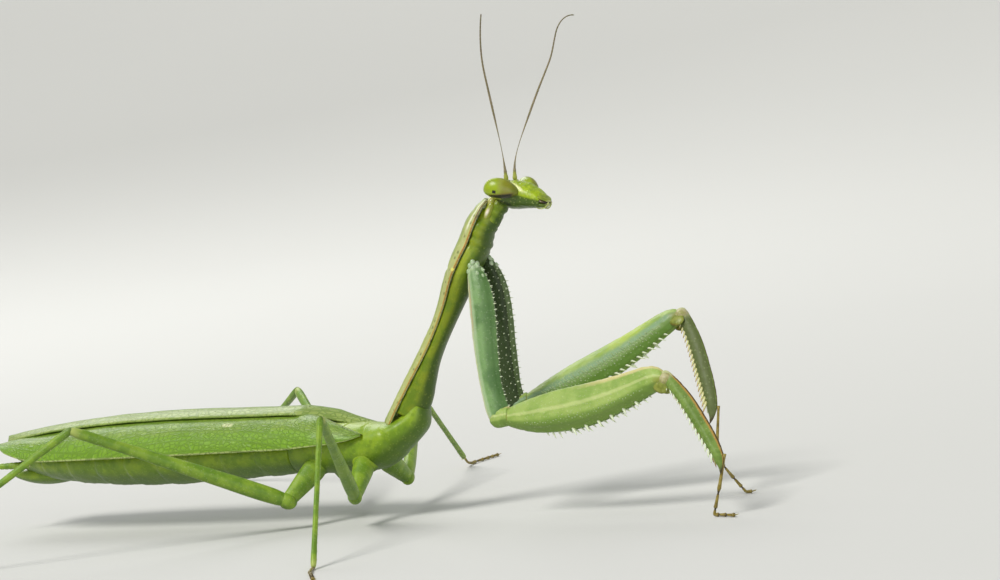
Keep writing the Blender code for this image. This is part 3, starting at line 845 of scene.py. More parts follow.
@dataclass(frozen=True)
class Cuticle:
    """Chitin, hardened and waxed: a soft sheen over colour that sits a little below.

    Its surface is grown, not made, so it is mottled, finely pitted and dotted with
    small pale tubercles.
    """

    name: str
    colour: str
    shade: str
    patch: float = 1.6  # millimetres across a mottled patch
    dot: str = "c8d49a"
    dot_gap: float = 0.42  # millimetres between tubercles
    dots: float = 0.25
    roughness: float = 0.42
    sheen: float = 0.32  # the wax bloom dulls the chitin's own shine
    coat: float = 0.12
    coat_roughness: float = 0.18
    glow: float = 0.12
    relief: float = 0.5
    grain: float = 0.14  # millimetres across a pit
    markings: tuple[Marking, ...] = ()

    def wire(self) -> Wiring:
        """Build the shader of this finish."""
        wiring = Wiring(self.name)
        channels, vectors = {}, {}
        for channel in Channel:
            label, part = channel.value
            if label not in vectors:
                vector = add_node(wiring.tree, "Attribute", attribute_name=label).outputs["Vector"]
                vectors[label] = (vector, add_node(wiring.tree, "SeparateXYZ", {0: vector}))
            channels[channel] = vectors[label][1].outputs[part]
        place = vectors["own_place"][0]
        clouds = wiring.noise(place, self.patch, 4.0)
        fine = wiring.noise(place, self.grain, 2.0)
        wander = wiring.math("SUBTRACT", wiring.noise(place, 0.7, 2.0), 0.5)
        colour = wiring.blend(wiring.fade(clouds, 0.36, 0.64), linear(self.shade),
                              linear(self.colour))
        for marking in self.markings:
            mask = marking.mask(wiring, channels, wander, place)
            colour = wiring.blend(mask, colour, linear(marking.colour))
        tubercles = wiring.fade(wiring.cells(place, self.dot_gap), 0.34, 0.12)
        dotted = wiring.math("MULTIPLY", tubercles, self.dots)
        height = wiring.math("MULTIPLY_ADD", tubercles, 0.7, fine)
        feed(wiring.shader, {
            "Base Color": wiring.blend(dotted, colour, linear(self.dot)),
            "Normal": wiring.bump(height, self.relief, PIT_DEPTH),
            "Roughness": wiring.fade(fine, 0.0, 1.0, "LINEAR", self.roughness - 0.07,
                                     self.roughness + 0.09),
            "IOR": CHITIN_INDEX, "Specular IOR Level": self.sheen, "Coat Weight": self.coat,
            "Coat Roughness": self.coat_roughness, "Subsurface Weight": self.glow,
            "Subsurface Scale": GLOW_DEPTH, "Subsurface Radius": GLOW_SPREAD,
        })
        return wiring


@dataclass(frozen=True)
class WingSkin(Cuticle):
    """Leathery forewing: thin chitin over raised long veins and a net of cross veins."""

    vein_gap: float = 0.95  # millimetres between long veins
    vein: str = "5a7a1c"

    def wire(self) -> Wiring:
        """Build the shader: the cuticle with its veins drawn and raised over it."""
        wiring = super().wire()
        tree, shader = wiring.tree, wiring.shader
        place = add_node(tree, "Attribute", attribute_name="own_place").outputs["Vector"]
        stretched = add_node(tree, "Mapping", {"Vector": place, "Scale": (1.5, 3.0, 1.0)})
        feeds = {"Vector": stretched.outputs["Vector"], "Scale": 1.0, "Randomness": 0.75}
        net = add_node(tree, "TexVoronoi", feeds, feature="DISTANCE_TO_EDGE").outputs["Distance"]
        parts = add_node(tree, "SeparateXYZ", {0: place}).outputs
        # The long veins run out to the edge at a slant.
        across = wiring.math("MULTIPLY_ADD", parts["X"], 0.045, parts["Y"])
        folded = wiring.math("PINGPONG", across, self.vein_gap / 2)
        veins = wiring.math("MAXIMUM", wiring.fade(net, 0.12, 0.03), wiring.fade(folded, 0.1, 0.03))
        under, before = (shader.inputs[label].links[0].from_socket
                         for label in ("Base Color", "Normal"))
        shown = wiring.math("MULTIPLY", veins, 0.5)
        feed(shader, {"Base Color": wiring.blend(shown, under, linear(self.vein)),
                      "Normal": wiring.bump(veins, 0.8, VEIN_RISE, Normal=before)})
        return wiring


# Working palette, sRGB. The greens lean yellow where light passes through thin chitin.
BODY_GREEN = "8aa61a"
# Green of the painted shade laid along undersides.
UNDERSIDE_SHADE = "42600e"
CREAM = "babd80"
RUST = "a3521c"

BODY_SKIN = Cuticle(
    "waxed chitin, body green", BODY_GREEN, "6f9012", dot="a3b84a", dots=0.2, dot_gap=0.36, glow=0.15,
    relief=0.9,
    markings=(
        # Painted shade: darker along the underside.
        Marking(UNDERSIDE_SHADE, 0.85, 0.25, upper=(-0.05, -0.7)),
        # Painted light: paler along the top.
        Marking("b3c25a", 0.35, 0.2, upper=(0.7, 1.0)),
        Marking("55750e", 0.35, speck=0.8, upper=(0.6, 0.2)),
    ),
)
FLANK_SKIN = Cuticle(
    "waxed chitin, thorax flank", "84940a", "668208", dot="a9b84a", dots=0.15, glow=0.15, relief=0.9,
    markings=(
        # Painted shade: darker along the underside.
        Marking("375208", 0.88, 0.25, upper=(-0.05, -0.7)),
        # Painted light: the lit bulge of the flank over the hip, yellower.
        Marking("a3b22c", 0.7, 0.1, share=(0.6, 0.7, 0.86, 0.8), upper=(0.0, 0.4)),
        # Painted shade: darker low on the flank towards the throat, in its folds.
        Marking("34500c", 0.5, 0.1, share=(0.8, 0.9), upper=(0.3, -0.3)),
    ),
)
SHIELD = Cuticle(
    "waxed chitin, thorax shield", "a2ad58", "8b9c40", patch=2.4, dot="d6d8ac", dot_gap=0.5, dots=0.2,
    roughness=0.4,
    markings=(
        Marking("8d9c66", 0.6, 0.2, share=(0.6, 0.8), upper=(0.6, 0.85)),
        Marking(CREAM, 0.7, 0.12, upper=(0.1, 0.2, 0.66, 0.5)),
        Marking("5f6430", 0.7, speck=0.62, upper=(0.12, 0.2, 0.5, 0.4)),
        # Painted highlight: a whitish streak on the side slope near the front.
        Marking("eceed2", 0.7, 0.06, share=(0.84, 0.88), upper=(0.3, 0.38, 0.56, 0.48)),
        Marking("c9bc62", 0.8, 0.05, upper=(0.2, 0.1)),
        Marking(RUST, 0.45, 0.12, upper=(0.12, 0.05)),
        Marking(RUST, 0.55, 0.1, upper=(0.13, 0.06), share=(0.5, 0.58)),
        Marking(RUST, 0.5, 0.1, upper=(0.13, 0.06), share=(0.3, 0.22)),
        Marking("574a48", 0.85, 0.03, upper=(0.16, 0.08), share=(0.9, 0.93)),
        # Painted highlight: the glint of one margin tooth, a small pale-yellow spot.
        Marking("ece672", 0.95, upper=(0.3, 0.22), share=(0.694, 0.699, 0.711, 0.706)),
    ),
)
LEG_SKIN = Cuticle(
    "waxed chitin, foreleg", "9bb25a", "84a144", patch=2.2, dots=0.16, glow=0.2, roughness=0.5,
    coat=0.07, relief=0.9,
    markings=(
        Marking("7c9a78", 0.85, 0.2, outer=(-0.1, -0.5), upper=(0.3, -0.05)),
        Marking("c8d08c", 0.5, 0.12, upper=(0.05, 0.16, 0.36, 0.24), outer=(-0.3, 0.1)),
        # Painted shade: the lower facet darker.
        Marking("6a8834", 0.85, 0.1, upper=(-0.18, -0.4)),
        # Painted shade: dark green low on the inner face, by the groove that the shin folds into.
        Marking("557a1c", 0.8, 0.1, outer=(0.0, -0.4), upper=(-0.55, -0.72)),
        Marking("a6bb3c", 0.85, 0.3, outer=(0.1, -0.2), share=(0.48, 0.68, 0.88, 0.74),
                upper=(0.05, 0.4)),
        Marking("cdbf82", 0.85, 0.05, upper=(0.8, 0.93), share=(0.4, 0.7)),
        Marking("8f8a30", 0.7, 0.06, share=(0.93, 0.98), upper=(0.3, -0.2)),
    ),
)
COXA_SKIN = Cuticle(
    "waxed chitin, hip", "76995c", "50753c", patch=2.6, dot="b9cca4", dot_gap=0.36, dots=0.12, glow=0.2,
    roughness=0.5, coat=0.07, relief=0.9,
    markings=(
        # Painted shade: the upper half of the outer face darker.
        Marking("466a32", 0.7, 0.15, upper=(-0.1, 0.5), outer=(0.2, 0.5)),
        # Painted highlight: a pale strip low on the outer face.
        Marking("a9c094", 0.75, 0.1, upper=(-0.35, -0.62), outer=(0.2, 0.5)),
        # Painted shade: darker along the upper edge, where it turns to the inner face.
        Marking("55643a", 0.8, 0.1, upper=(0.5, 0.8), outer=(0.35, 0.05)),
        # Painted shadow: the inner face darkened almost to black, below its upper edge.
        Marking("26360a", 0.93, 0.1, outer=(0.0, -0.5), upper=(0.88, 0.78)),
        Marking("cdd2a4", 0.85, 0.05, upper=(-0.72, -0.92)),
        Marking("c9806c", 0.45, 0.06, upper=(-0.7, -0.76, -0.86, -0.8), share=(0.1, 0.2, 0.5, 0.35)),
        Marking("c3d0ae", 0.7, 0.06, share=(0.1, 0.03), outer=(0.0, 0.4)),
    ),
)
SHIN_SKIN = Cuticle(
    "waxed chitin, foreleg shin", "738e3c", "5f7a2a", patch=1.2, dots=0.16, glow=0.2, roughness=0.58,
    coat=0.03, relief=0.9,
    markings=(
        Marking("596138", 0.85, 0.1, outer=(-0.1, -0.5)),
        Marking("b8843c", 0.7, 0.1, upper=(0.78, 0.88), outer=(-0.3, 0.1)),
        Marking("3a2810", 0.9, 0.02, upper=(0.93, 0.98), outer=(-0.3, -0.05)),
        Marking("bdc08a", 0.9, 0.04, share=(0.13, 0.05)),
        Marking("3a2510", 0.9, 0.02, share=(0.93, 0.99)),
    ),
)
WALKING_SKIN = Cuticle(
    "waxed chitin, walking leg", "86a42c", "668a1e", patch=1.4, dots=0.16, dot_gap=0.3, glow=0.15,
    relief=0.9, roughness=0.46,
    markings=(
        Marking("4f6a14", 0.7, 0.02, share=(0.05, 0.0)),
        Marking("b5bd68", 0.7, 0.03, share=(0.93, 0.99)),
        # Painted shade: darker along the underside.
        Marking(UNDERSIDE_SHADE, 0.5, 0.2, upper=(-0.3, -0.9)),
    ),
)
FOOT_SKIN = Cuticle(
    "waxed chitin, foot joints", "93823a", "6f5f1e", patch=0.8, dots=0.1,
    markings=(Marking("2e1c0a", 0.9, 0.05, upper=(0.35, 0.75)),),
)
JOINT_SKIN = Cuticle(
    "soft joint membrane", "b8b188", "99965a", patch=0.5, dots=0.1, roughness=0.5, glow=0.3, relief=0.9
)
LOBE_SKIN = Cuticle(
    "waxed chitin, knee lobes", "8a923a", "707a28", patch=0.5, dots=0.15, glow=0.15,
    markings=(Marking("6a5a1c", 0.7, 0.05, upper=(-0.6, -0.95)),),
)
COLLAR_SKIN = Cuticle(
    "soft collar membrane, painted highlight", "98a024", "889216", patch=0.9, dots=0.0, roughness=0.3, coat=0.5, glow=0.3,
    markings=(
        # Painted highlight: pale, then white, down the middle of the lobe's outward bulge.
        Marking("cdc790", 0.8, 0.12, outer=(0.78, 1.0), share=(0.02, 0.4)),
        Marking("f0e8dc", 0.85, 0.05, outer=(0.9, 1.0), share=(0.2, 0.5, 0.9, 0.65)),
    ),
)
NAPE_SKIN = Cuticle(
    "soft nape membrane", "aeaa5e", "8f9630", patch=0.5, dots=0.0, roughness=0.4, coat=0.3, glow=0.3,
    # Painted shade: darker at the rear, where the nape tucks under the shield.
    markings=(Marking("6d6534", 0.7, 0.1, share=(0.35, 0.1)),),
)
KNOB_SKIN = Cuticle(
    "waxed chitin, hip root", "c5d3b4", "94b07e", patch=0.5, dots=0.0, roughness=0.36, coat=0.3
)
HEAD_SKIN = Cuticle(
    "waxed chitin, head", "a4ba16", "8aa20c", patch=0.5, dot="d3d97c", dot_gap=0.26, dots=0.35,
    roughness=0.32, coat=0.28, grain=0.1, relief=0.8,
    markings=(
        # Painted shade: darker over the back of the head and the cheeks, behind the face.
        Marking("345006", 0.92, 0.12, ahead=(0.0, -0.34)),
        # Painted shade: the dark crease below each eye.
        Marking("1d2a06", 0.8, 0.08, ahead=(-1.12, -1.3, -1.72, -1.5), rise=(-1.5, -1.0, 0.9, 0.5),
                outer=(1.1, 1.4)),
        # Pale line along the face ridge beside each eye: partly its own colour, partly a painted
        # highlight.
        Marking("d6da8c", 0.9, 0.05, lean=0.09, outer=(1.06, 1.16, 1.34, 1.24),
                rise=(-2.6, -2.1, 1.6, 1.3), upper=(0.2, 0.5)),
        Marking("6b8a0c", 0.5, speck=0.5, ahead=(0.1, 0.3)),
    ),
)
RIM_SKIN = Cuticle("waxed chitin, eye rim", "9ca428", "7c8c14", patch=0.5, dots=0.0, coat=0.3)
MOUTH_SKIN = Cuticle(
    "tanned chitin, jaws", "6d6040", "4a3a20", patch=0.4, dots=0.0, coat=0.3,
    markings=(Marking("1d120a", 0.85, 0.02, share=(0.55, 0.9)),),
)
LIP_SKIN = Cuticle(
    "waxed chitin, lips", "93a326", "6f8418", patch=0.4, dots=0.15, coat=0.3,
    markings=(
        Marking("4c6410", 0.85, 0.06, rise=(-0.16, -0.4)),
        Marking("c9cb93", 0.7, 0.03, share=(0.86, 0.98)),
    ),
)
PALP_SKIN = Cuticle("waxed chitin, mouth feelers", "bfc67e", "9dac4e", patch=0.5, dots=0.0)
FEELER_SKIN = Cuticle(
    "ringed chitin, feeler", "94866a", "7c7050", patch=1.5, dots=0.05, roughness=0.5,
    markings=(
        Marking("a4a844", 1.0, share=(0.055, 0.04)),
        Marking("62563c", 0.7, share=(0.5, 1.0)),
        Marking("584c34", 0.4, upper=(0.3, 0.9)),
    ),
)
SPINE_HORN = Cuticle(
    "clear chitin spine", "d2cf98", "b4b26c", patch=0.6, dots=0.0, coat=0.3, glow=0.1, relief=0.1,
    markings=(
        Marking("a8742a", 0.75, share=(0.45, 0.9)),
        Marking("5c3812", 0.8, share=(0.8, 1.0)),
    ),
)
PALE_HORN = Cuticle(
    "clear chitin tooth", "dfe6cc", "c6d2a8", patch=0.6, dots=0.0, coat=0.2, glow=0.1, relief=0.1
)
GRAIN_SKIN = Cuticle("waxed chitin, thigh grains", "b4c596", "93ab74", patch=0.8, dots=0.0, relief=0.1)
RUST_HORN = Cuticle(
    "tanned chitin tooth", "b98a48", "9c5c28", patch=0.6, dots=0.0, coat=0.2, relief=0.1
)
# The dark band of the eye lies on its outer half, where ACROSS fades in, and leans with RISE.
EYE_SURFACE = Cuticle(
    "compound eye, clear facets", "98ae0a", "889a10", patch=1.3, dot="bcc64a", dot_gap=0.085, dots=0.15,
    roughness=0.32, coat=0.16, coat_roughness=0.3, glow=0.25, relief=0.25, grain=0.3, sheen=0.4,
    markings=(
        Marking("7f7a18", 0.8, 0.15, rise=(0.05, -0.75), across=(-0.3, 0.2)),
        Marking("5e6a08", 0.6, 0.1, rise=(-0.9, -1.7), across=(-0.3, 0.2)),
        Marking("a8906a", 0.22, 0.1, rise=(0.3, -0.1, -0.6, -0.2), ahead=(-0.3, 0.3),
                across=(-0.3, 0.2)),
        Marking("7a5f24", 0.6, 0.05, lean=0.18, rise=(1.05, 0.7, -1.75, -1.2), ahead=(-0.05, -0.22),
                across=(-0.3, 0.2)),
        Marking("151402", 0.97, 0.04, lean=0.18, rise=(1.05, 0.7, -1.75, -1.2), ahead=(-0.19, -0.34),
                across=(-0.3, 0.2)),
        Marking("0a0b04", 1.0, rise=(0.19, 0.26, 0.63, 0.56), ahead=(-0.18, -0.11, 0.2, 0.13),
                across=(0.4, 0.65)),
    ),
)
FOREWING_SKIN = WingSkin(
    "leathery forewing", "86a23a", "6f9028", patch=3.0, dots=0.1, glow=0.1,
    markings=(
        Marking("a6b36a", 0.6, 0.08, outer=(0.3, 0.15)),
        Marking("76a01e", 0.9, 0.06, outer=(0.62, 0.74)),
        Marking("d2d69c", 0.7, 0.05, ahead=(16.4, 16.9, 18.2, 17.7), outer=(0.5, 0.54, 0.61, 0.57)),
        Marking("c3ca86", 0.7, 0.01, outer=(0.965, 0.985)),
    ),
)
HINDWING_SKIN = WingSkin("clear hindwing", "8b8a52", "7c7f45", patch=3.0, dots=0.0)


class Dresser:
    """Keeps one material for each finish and lays it on pieces."""

    def __init__(self) -> None:
        """Start with no materials made."""
        self.made: dict[str, bpy.types.Material] = {}

    def dress(self, piece: Piece, finish: Cuticle, slot: str, *nodes: str) -> None:
        """Give a piece its finish and its place in the model.

        Args:
            piece: The finished mesh.
            finish: What it is made of.
            slot: The record's material slot; not used.
            *nodes: Solids that this piece stands for.
        """
        if finish.name not in self.made:
            self.made[finish.name] = finish.wire().made
        piece.data.materials.clear()
        piece.data.materials.append(self.made[finish.name])
        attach(piece, "root")
        if nodes:
            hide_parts(*nodes)
        LOG.info("%s: %d faces", piece.name, len(piece.data.polygons))


# ---------------------------------------------------------------- prothorax


@dataclass
class Prothorax:
    """The long raised neck-like thorax: shield above, flanks and keel below."""

    rear: float = -2.5
    front: float = 23.3
    ridge: Table = ((-2.5, 1.05), (2, 0.92), (5, 0.8), (8.5, 0.75), (11, 0.98), (13.4, 1.42),
                    (15.7, 1.68), (18, 1.78), (20.3, 1.9), (22.1, 1.62), (23.3, 1.12))
    margin: Table = ((-2.5, 0.15), (2, 0.0), (6.7, -0.15), (8.4, -0.12), (12, 0.13), (15.2, 0.42),
                     (17.8, 0.4), (20.6, 0.66), (22.4, 0.76), (23.3, 0.62))
    half: Table = ((-2.5, 1.6), (0, 1.95), (3, 1.86), (8, 1.65), (11.5, 1.78), (13.5, 2.2),
                   (15.5, 2.62), (17, 2.64), (19, 2.15), (21, 1.85), (22.6, 1.35), (23.3, 0.8))
    keel: Table = ((-1, 2.9), (2, 2.6), (3.1, 2.3), (5.75, 1.68), (9.2, 1.5), (13.9, 1.56),
                   (16.5, 1.6), (19, 1.72), (20.2, 1.45), (21.8, 1.5))
    groove_at: float = 15.4  # cross groove over the hips
    rim: float = 0.28  # thickness at the margin

    def shield_point(self, at: float, angle: float) -> Vector:
        """Point on top of the shield, angle from the left margin over to the right."""
        half, edge, crest = (profile(t, at) for t in (self.half, self.margin, self.ridge))
        up = math.sin(angle) ** 1.15
        height = edge + (crest - edge) * up
        middle = bell((angle - math.pi / 2) / 0.16)
        behind = ramp(at, self.groove_at - 0.8, self.groove_at - 2.8)
        height += 0.1 * middle * behind
        height -= 0.1 * bell((angle - math.pi / 2) / 0.1) * (1 - behind)
        bowed = at - self.groove_at + 0.9 * math.cos(angle) ** 2
        height -= 0.16 * bell(bowed / 0.55) * up
        height -= 0.07 * bell((at - 21.9) / 0.4) * up
        place = Vector((at, half * math.cos(angle), height))
        place.z += 0.03 * noise.noise(place * 1.6) * up
        return place

    def shield(self) -> Piece:
        """Model the shield as a thin arched plate with a rolled margin."""
        rows = []
        for at in spread(self.rear, self.front, 150):
            share = ramp(at, self.rear, self.front)
            row = []
            for angle in spread(0, math.pi, 37):
                mark = Vector((-math.cos(angle), math.sin(angle), share))
                row.append((self.shield_point(at, angle), mark))
            for angle in spread(0, math.pi, 37)[35:0:-2]:
                top = self.shield_point(at, angle)
                drop = self.rim * (0.75 + 0.25 * math.sin(angle))
                row.append((Vector((at, top.y * 0.985, top.z - drop)),
                            Vector((-math.cos(angle), 0.4, share))))
            rows.append(row)
        return lay_rows("thorax_shield", rows, thorax_frame())

    def margin_teeth(self) -> list[Planting]:
        """Small teeth set along both margins, larger over the hips."""
        teeth = []
        for sign in (-1, 1):
            for k, at in enumerate(spread(0.2, 22.6, 58)):
                out = profile(self.half, at)
                size = 0.13 + 0.08 * bell((at - 17.5) / 6.5) + 0.03 * math.sin(k * 2.4)
                root = Vector((at, sign * (out - 0.06), profile(self.margin, at) - 0.05))
                teeth.append(Planting(root, Vector((0.25, sign, -0.05)), size, 0.12))
        return teeth

    def flank(self) -> Piece:
        """Model the flanks and the throat below the shield."""
        rows = []
        for at in spread(-0.8, 22.3, 126):
            narrow = ramp(at, 20.4, 22.3)
            narrow = narrow * narrow * (3 - 2 * narrow)
            half = profile(self.half, at) * 0.93 * (1 - narrow) + 1.03 * narrow
            top = profile(self.margin, at) - 0.12
            depth = profile(self.keel, at) + top
            folds = sum(0.1 * bell((at - fold) / 0.42) for fold in (18.6, 19.5, 20.4, 21.2))
            share = at / 22.3
            row = []
            for angle in spread(0, math.pi, 31):
                below = 0.12 + (depth - 0.12 - folds) * math.sin(angle) ** 0.8
                place = Vector((at, half * math.cos(angle) * (1 - 0.5 * folds), top - below))
                place.y += 0.05 * noise.noise(place * 1.1)
                mark = Vector((-math.cos(angle), 0.7 - 1.9 * math.sin(angle), share))
                row.append((place, mark))
            for side in (-0.5, 0.5):
                row.append((Vector((at, half * side, top + 0.15)), Vector((0, 1, share))))
            rows.append(row)
        return lay_rows("thorax_flanks", rows, thorax_frame())

    def build(self, dresser: Dresser) -> None:
        """Model and dress the prothorax."""
        dresser.dress(self.shield(), SHIELD, "pronotum", "pronotum")
        dresser.dress(self.flank(), FLANK_SKIN, "cuticle", "prosternum")
        teeth = plant("shield_margin_teeth", self.margin_teeth(), thorax_frame(), 0.2)
        dresser.dress(teeth, RUST_HORN, "pronotum")


@dataclass
class Neck:
    """Soft folded throat between the thorax and the back of the head."""

    run: Table = ((21.0, -0.42), (22.2, -0.46), (23.1, -0.62), (23.8, -0.85), (24.4, -1.15))
    radii: Table = ((21.0, 1.06), (22.2, 1.05), (23.1, 1.02), (23.8, 0.96), (24.4, 0.8))
    lobe: tuple[float, float, float] = (1.25, 0.52, 0.46)
    lobe_at: tuple[float, float, float] = (22.3, 0.74, -0.02)
    nape: tuple[float, float, float] = (1.0, 1.02, 0.62)
    nape_at: tuple[float, float, float] = (23.15, 0, 0.1)

    def throat(self) -> Piece:
        """Model the throat, its skin gathered in folds below."""
        rows = []
        for at in spread(self.run[0][0], self.run[-1][0], 49):
            middle, radius = profile(self.run, at), profile(self.radii, at)
            row = []
            for c, s in circle(32):
                fold = (0.5 + 0.5 * math.cos((at + 0.25 * c - 21.0) * 7.5)) * (0.07 - 0.04 * s)
                reach = radius * (1 - fold)
                row.append((Vector((at, c * reach, middle + s * reach)),
                            Vector((c, 0.7 + 1.9 * min(0.0, s), 0.6 + 0.1 * s))))
            rows.append(row)
        return lay_rows("throat", rows, thorax_frame())

    def build(self, dresser: Dresser) -> None:
        """Model and dress the neck and the shiny collar lobes beside it, whose white shine is a painted
        highlight.
        """
        dresser.dress(self.throat(), FLANK_SKIN, "cuticle", "neck")
        at, out, rise = self.lobe_at
        for side in Side:
            frame = shifted(thorax_frame(), (at, out * side.sign, rise))
            lobe = bead(f"collar_lobe_{side.value}", Vector(self.lobe), frame, side, 32)
            dresser.dress(lobe, COLLAR_SKIN, "cuticle")
        frame = shifted(thorax_frame(), self.nape_at)
        dresser.dress(bead("nape", Vector(self.nape), frame, Side.LEFT, 40), NAPE_SKIN, "cuticle")


# ---------------------------------------------------------------- head


# Sizes of the mouthparts: distance below the head's middle, half width, front, back.
JAW = ((3.7, 0.44, -0.04, 0.42), (4.15, 0.45, -0.04, 0.42), (4.5, 0.36, -0.08, 0.4),
       (4.7, 0.2, -0.12, 0.36), (4.8, 0.08, -0.16, 0.3))
UPPER_LIP = ((3.75, 0.96, 0.44, 0.1), (3.96, 0.98, 0.32, 0.1), (4.06, 0.97, 0.34, 0.1),
             (4.3, 0.88, 0.22, 0.12), (4.52, 0.7, 0.1, 0.14), (4.7, 0.48, 0.0, 0.16),
             (4.8, 0.24, -0.06, 0.17))
LOWER_LIP = ((3.7, 0.86, -0.34, 1.02), (4.05, 0.86, -0.34, 0.98), (4.4, 0.74, -0.32, 0.88),
             (4.64, 0.54, -0.28, 0.74), (4.8, 0.3, -0.24, 0.56))
MOUTH_FEELERS = {
    "cheek": ((-0.92, 0.62, -3.65), (-1.02, 0.56, -4.0), (-0.96, 0.5, -4.4), (-0.74, 0.42, -4.7),
              (-0.44, 0.32, -4.86), (-0.14, 0.22, -4.88)),
    "lip": ((-0.7, 0.35, -4.0), (-0.84, 0.36, -4.25), (-0.74, 0.3, -4.5), (-0.55, 0.24, -4.62)),
}


@dataclass
class Head:
    """Three-cornered head: eyes at the upper corners, mouth at the lower one."""

    face: Table = ((-4.1, 0.3), (-3.8, 0.48), (-3, 0.78), (-2, 0.95), (-1, 0.9), (0, 0.72),
                   (0.5, 0.66), (1, 0.52), (1.5, 0.22), (1.75, -0.1))
    back: Table = ((-4.1, 0.95), (-3.8, 1.05), (-3, 1.3), (-2, 1.6), (-1, 1.95), (0, 2.05),
                   (0.5, 1.9), (1, 1.6), (1.4, 1.3), (1.75, 0.7))
    half: Table = ((-4.1, 1.0), (-3.8, 1.12), (-3.2, 1.3), (-2.4, 1.5), (-1.4, 1.75),
                   (-0.6, 1.98), (0, 2.1), (0.5, 2.1), (1, 1.95), (1.5, 1.6), (1.75, 1.0))
    eye_size: Vector = Vector((1.33, 1.06, 1.62))
    eye_drawn: Vector = Vector((0.56, 1.0, 1.34))  # flatter behind, longer below
    eye_taper: float = 0.42
    eye_at: tuple[float, float] = (-0.22, 2.32)  # ahead and out
    eye_tilt: float = 32.0
    eye_lean: float = -6.0

    def face_relief(self, y: float, z: float) -> float:
        """Height added on the face at a place across and up it."""
        lift = 0.14 * bell(y / 0.8) * bell((z + 0.15) / 0.42)  # frontal shield
        lift -= 0.1 * bell((z + 0.95) / 0.22) * bell(y / 1.3)
        lift += 0.14 * bell(y / 0.95) * bell((z + 1.7) / 0.75)  # clypeus
        lift -= 0.1 * bell((z + 2.75) / 0.2) * bell(y / 1.25)
        ridge = 1.16 + 0.08 * (0.2 - z)
        height = 0.2 * bell((z + 0.9) / 1.9) + 0.26 * bell((z - 0.9) / 0.6)
        lift += height * bell((abs(y) - ridge) / 0.22)
        lift -= 0.1 * bell((abs(y) - 0.72) / 0.22) * bell((z + 1.6) / 1.5)
        near = noise.voronoi(Vector((y, z, 0.3)) * 3.0)[0][0]
        lift += 0.13 * max(0.0, 1 - near / 0.5) ** 2 * bell((z + 2.0) / 2.4)
        return lift + 0.04 * noise.noise(Vector((y, z, 0)) * 3.2)

    def capsule(self) -> Piece:
        """Model the head capsule, rows running from the mouth up to the crown."""
        rows = []
        for z in spread(-4.1, 1.75, 130):
            face, back, half = (profile(t, z) for t in (self.face, self.back, self.half))
            row = []
            for c, s in circle(112):
                y = half * squared(c, 2.3)
                reach = (face if s > 0 else back) + (0.4 if s > 0 else -0.4)
                x = reach * squared(s, 2.3)
                if s > 0:
                    x += self.face_relief(y, z) * s
                else:
                    x += 0.04 * noise.noise(Vector((x, y, z)) * 2.0)
                # OUTER holds millimetres from the midline here.
                row.append((Vector((x - 0.4, y, z)), Vector((abs(y), s, (z + 4.1) / 5.85))))
            rows.append(row)
        return lay_rows("head_capsule", rows, head_frame())

    def eye_frame(self, side: Side) -> Matrix:
        """Frame of one eye: X with the face, Z along the eye towards the crown."""
        ahead, out = self.eye_at
        frame = shifted(head_frame(), (ahead, out * side.sign, 0))
        return turned(turned(frame, -self.eye_tilt * side.sign, "X"), self.eye_lean, "Y")

    def orbit(self, side: Side) -> Piece:
        """Model the low rim that the eye rests on, along its hind edge."""
        behind = self.eye_size.x * self.eye_drawn.x
        points, radii = [], []
        for part in spread(0, 1, 41):
            turn = math.radians(48 + 124 * part)
            up = self.eye_size.z * 1.05 * math.cos(turn)
            up *= self.eye_drawn.z if up < 0 else 1.0
            points.append(Vector((-behind * 1.12 * math.sin(turn), -0.3 * side.sign, up)))
            radii.append(0.03 + 0.1 * abs(math.sin(math.pi * part)) ** 0.6)
        return draw_thread(f"eye_rim_{side.value}", points, radii, self.eye_frame(side))

    def antenna_socket(self, side: Side) -> Piece:
        """Model the raised rim round an antenna's root."""
        rim = [Vector((0.3 * math.cos(a), 0.3 * math.sin(a), 0)) for a in spread(0, math.tau, 25)]
        frame = turned(shifted(head_frame(), (0.6, 0.72 * side.sign, 0.54)), 62, "Y")
        return draw_thread(f"antenna_socket_{side.value}", rim, [0.09] * 25, frame)

    def mouth_part(self, name: str, sizes: Sequence[tuple[float, ...]], side: Side = Side.LEFT,
                   out: float = 0.0, sides: int = 14) -> Piece:
        """Draw one mouthpart out towards the tip of the mouth.

        Args:
            name: Name of the piece.
            sizes: Distance below the head's middle, half width, front and back reach.
            side: Side of the head.
            out: Distance of its axis from the midline.
            sides: Corners of its cage.

        Returns:
            The finished mouthpart.
        """
        frame = turned(shifted(head_frame(), (0, out * side.sign, 0)), 90, "Y")
        rows = [Section(*size) for size in sizes]
        return Limb(name, rows, frame, side, sides=sides, levels=3, roughen=0.02).model()

    def palp(self, side: Side, kind: str, knots: Sequence[tuple[float, ...]]) -> Piece:
        """Model one jointed mouth feeler along its knots, which are given for the left side."""
        points, radii, joints = [], [], [0.0]
        places = [Vector((x, y * side.sign, z)) for x, y, z in knots]
        for a, b in zip(places, places[1:]):
            for t in (i / 6 for i in range(6)):
                points.append(a.lerp(b, t))
                radii.append(0.05 + 0.02 * math.sin(math.pi * min(1, t + 0.12)))
            joints.append(joints[-1] + (b - a).length)
        return draw_thread(f"palp_{kind}_{side.value}", [*points, places[-1]], [*radii, 0.05],
                           head_frame(), joints[1:])

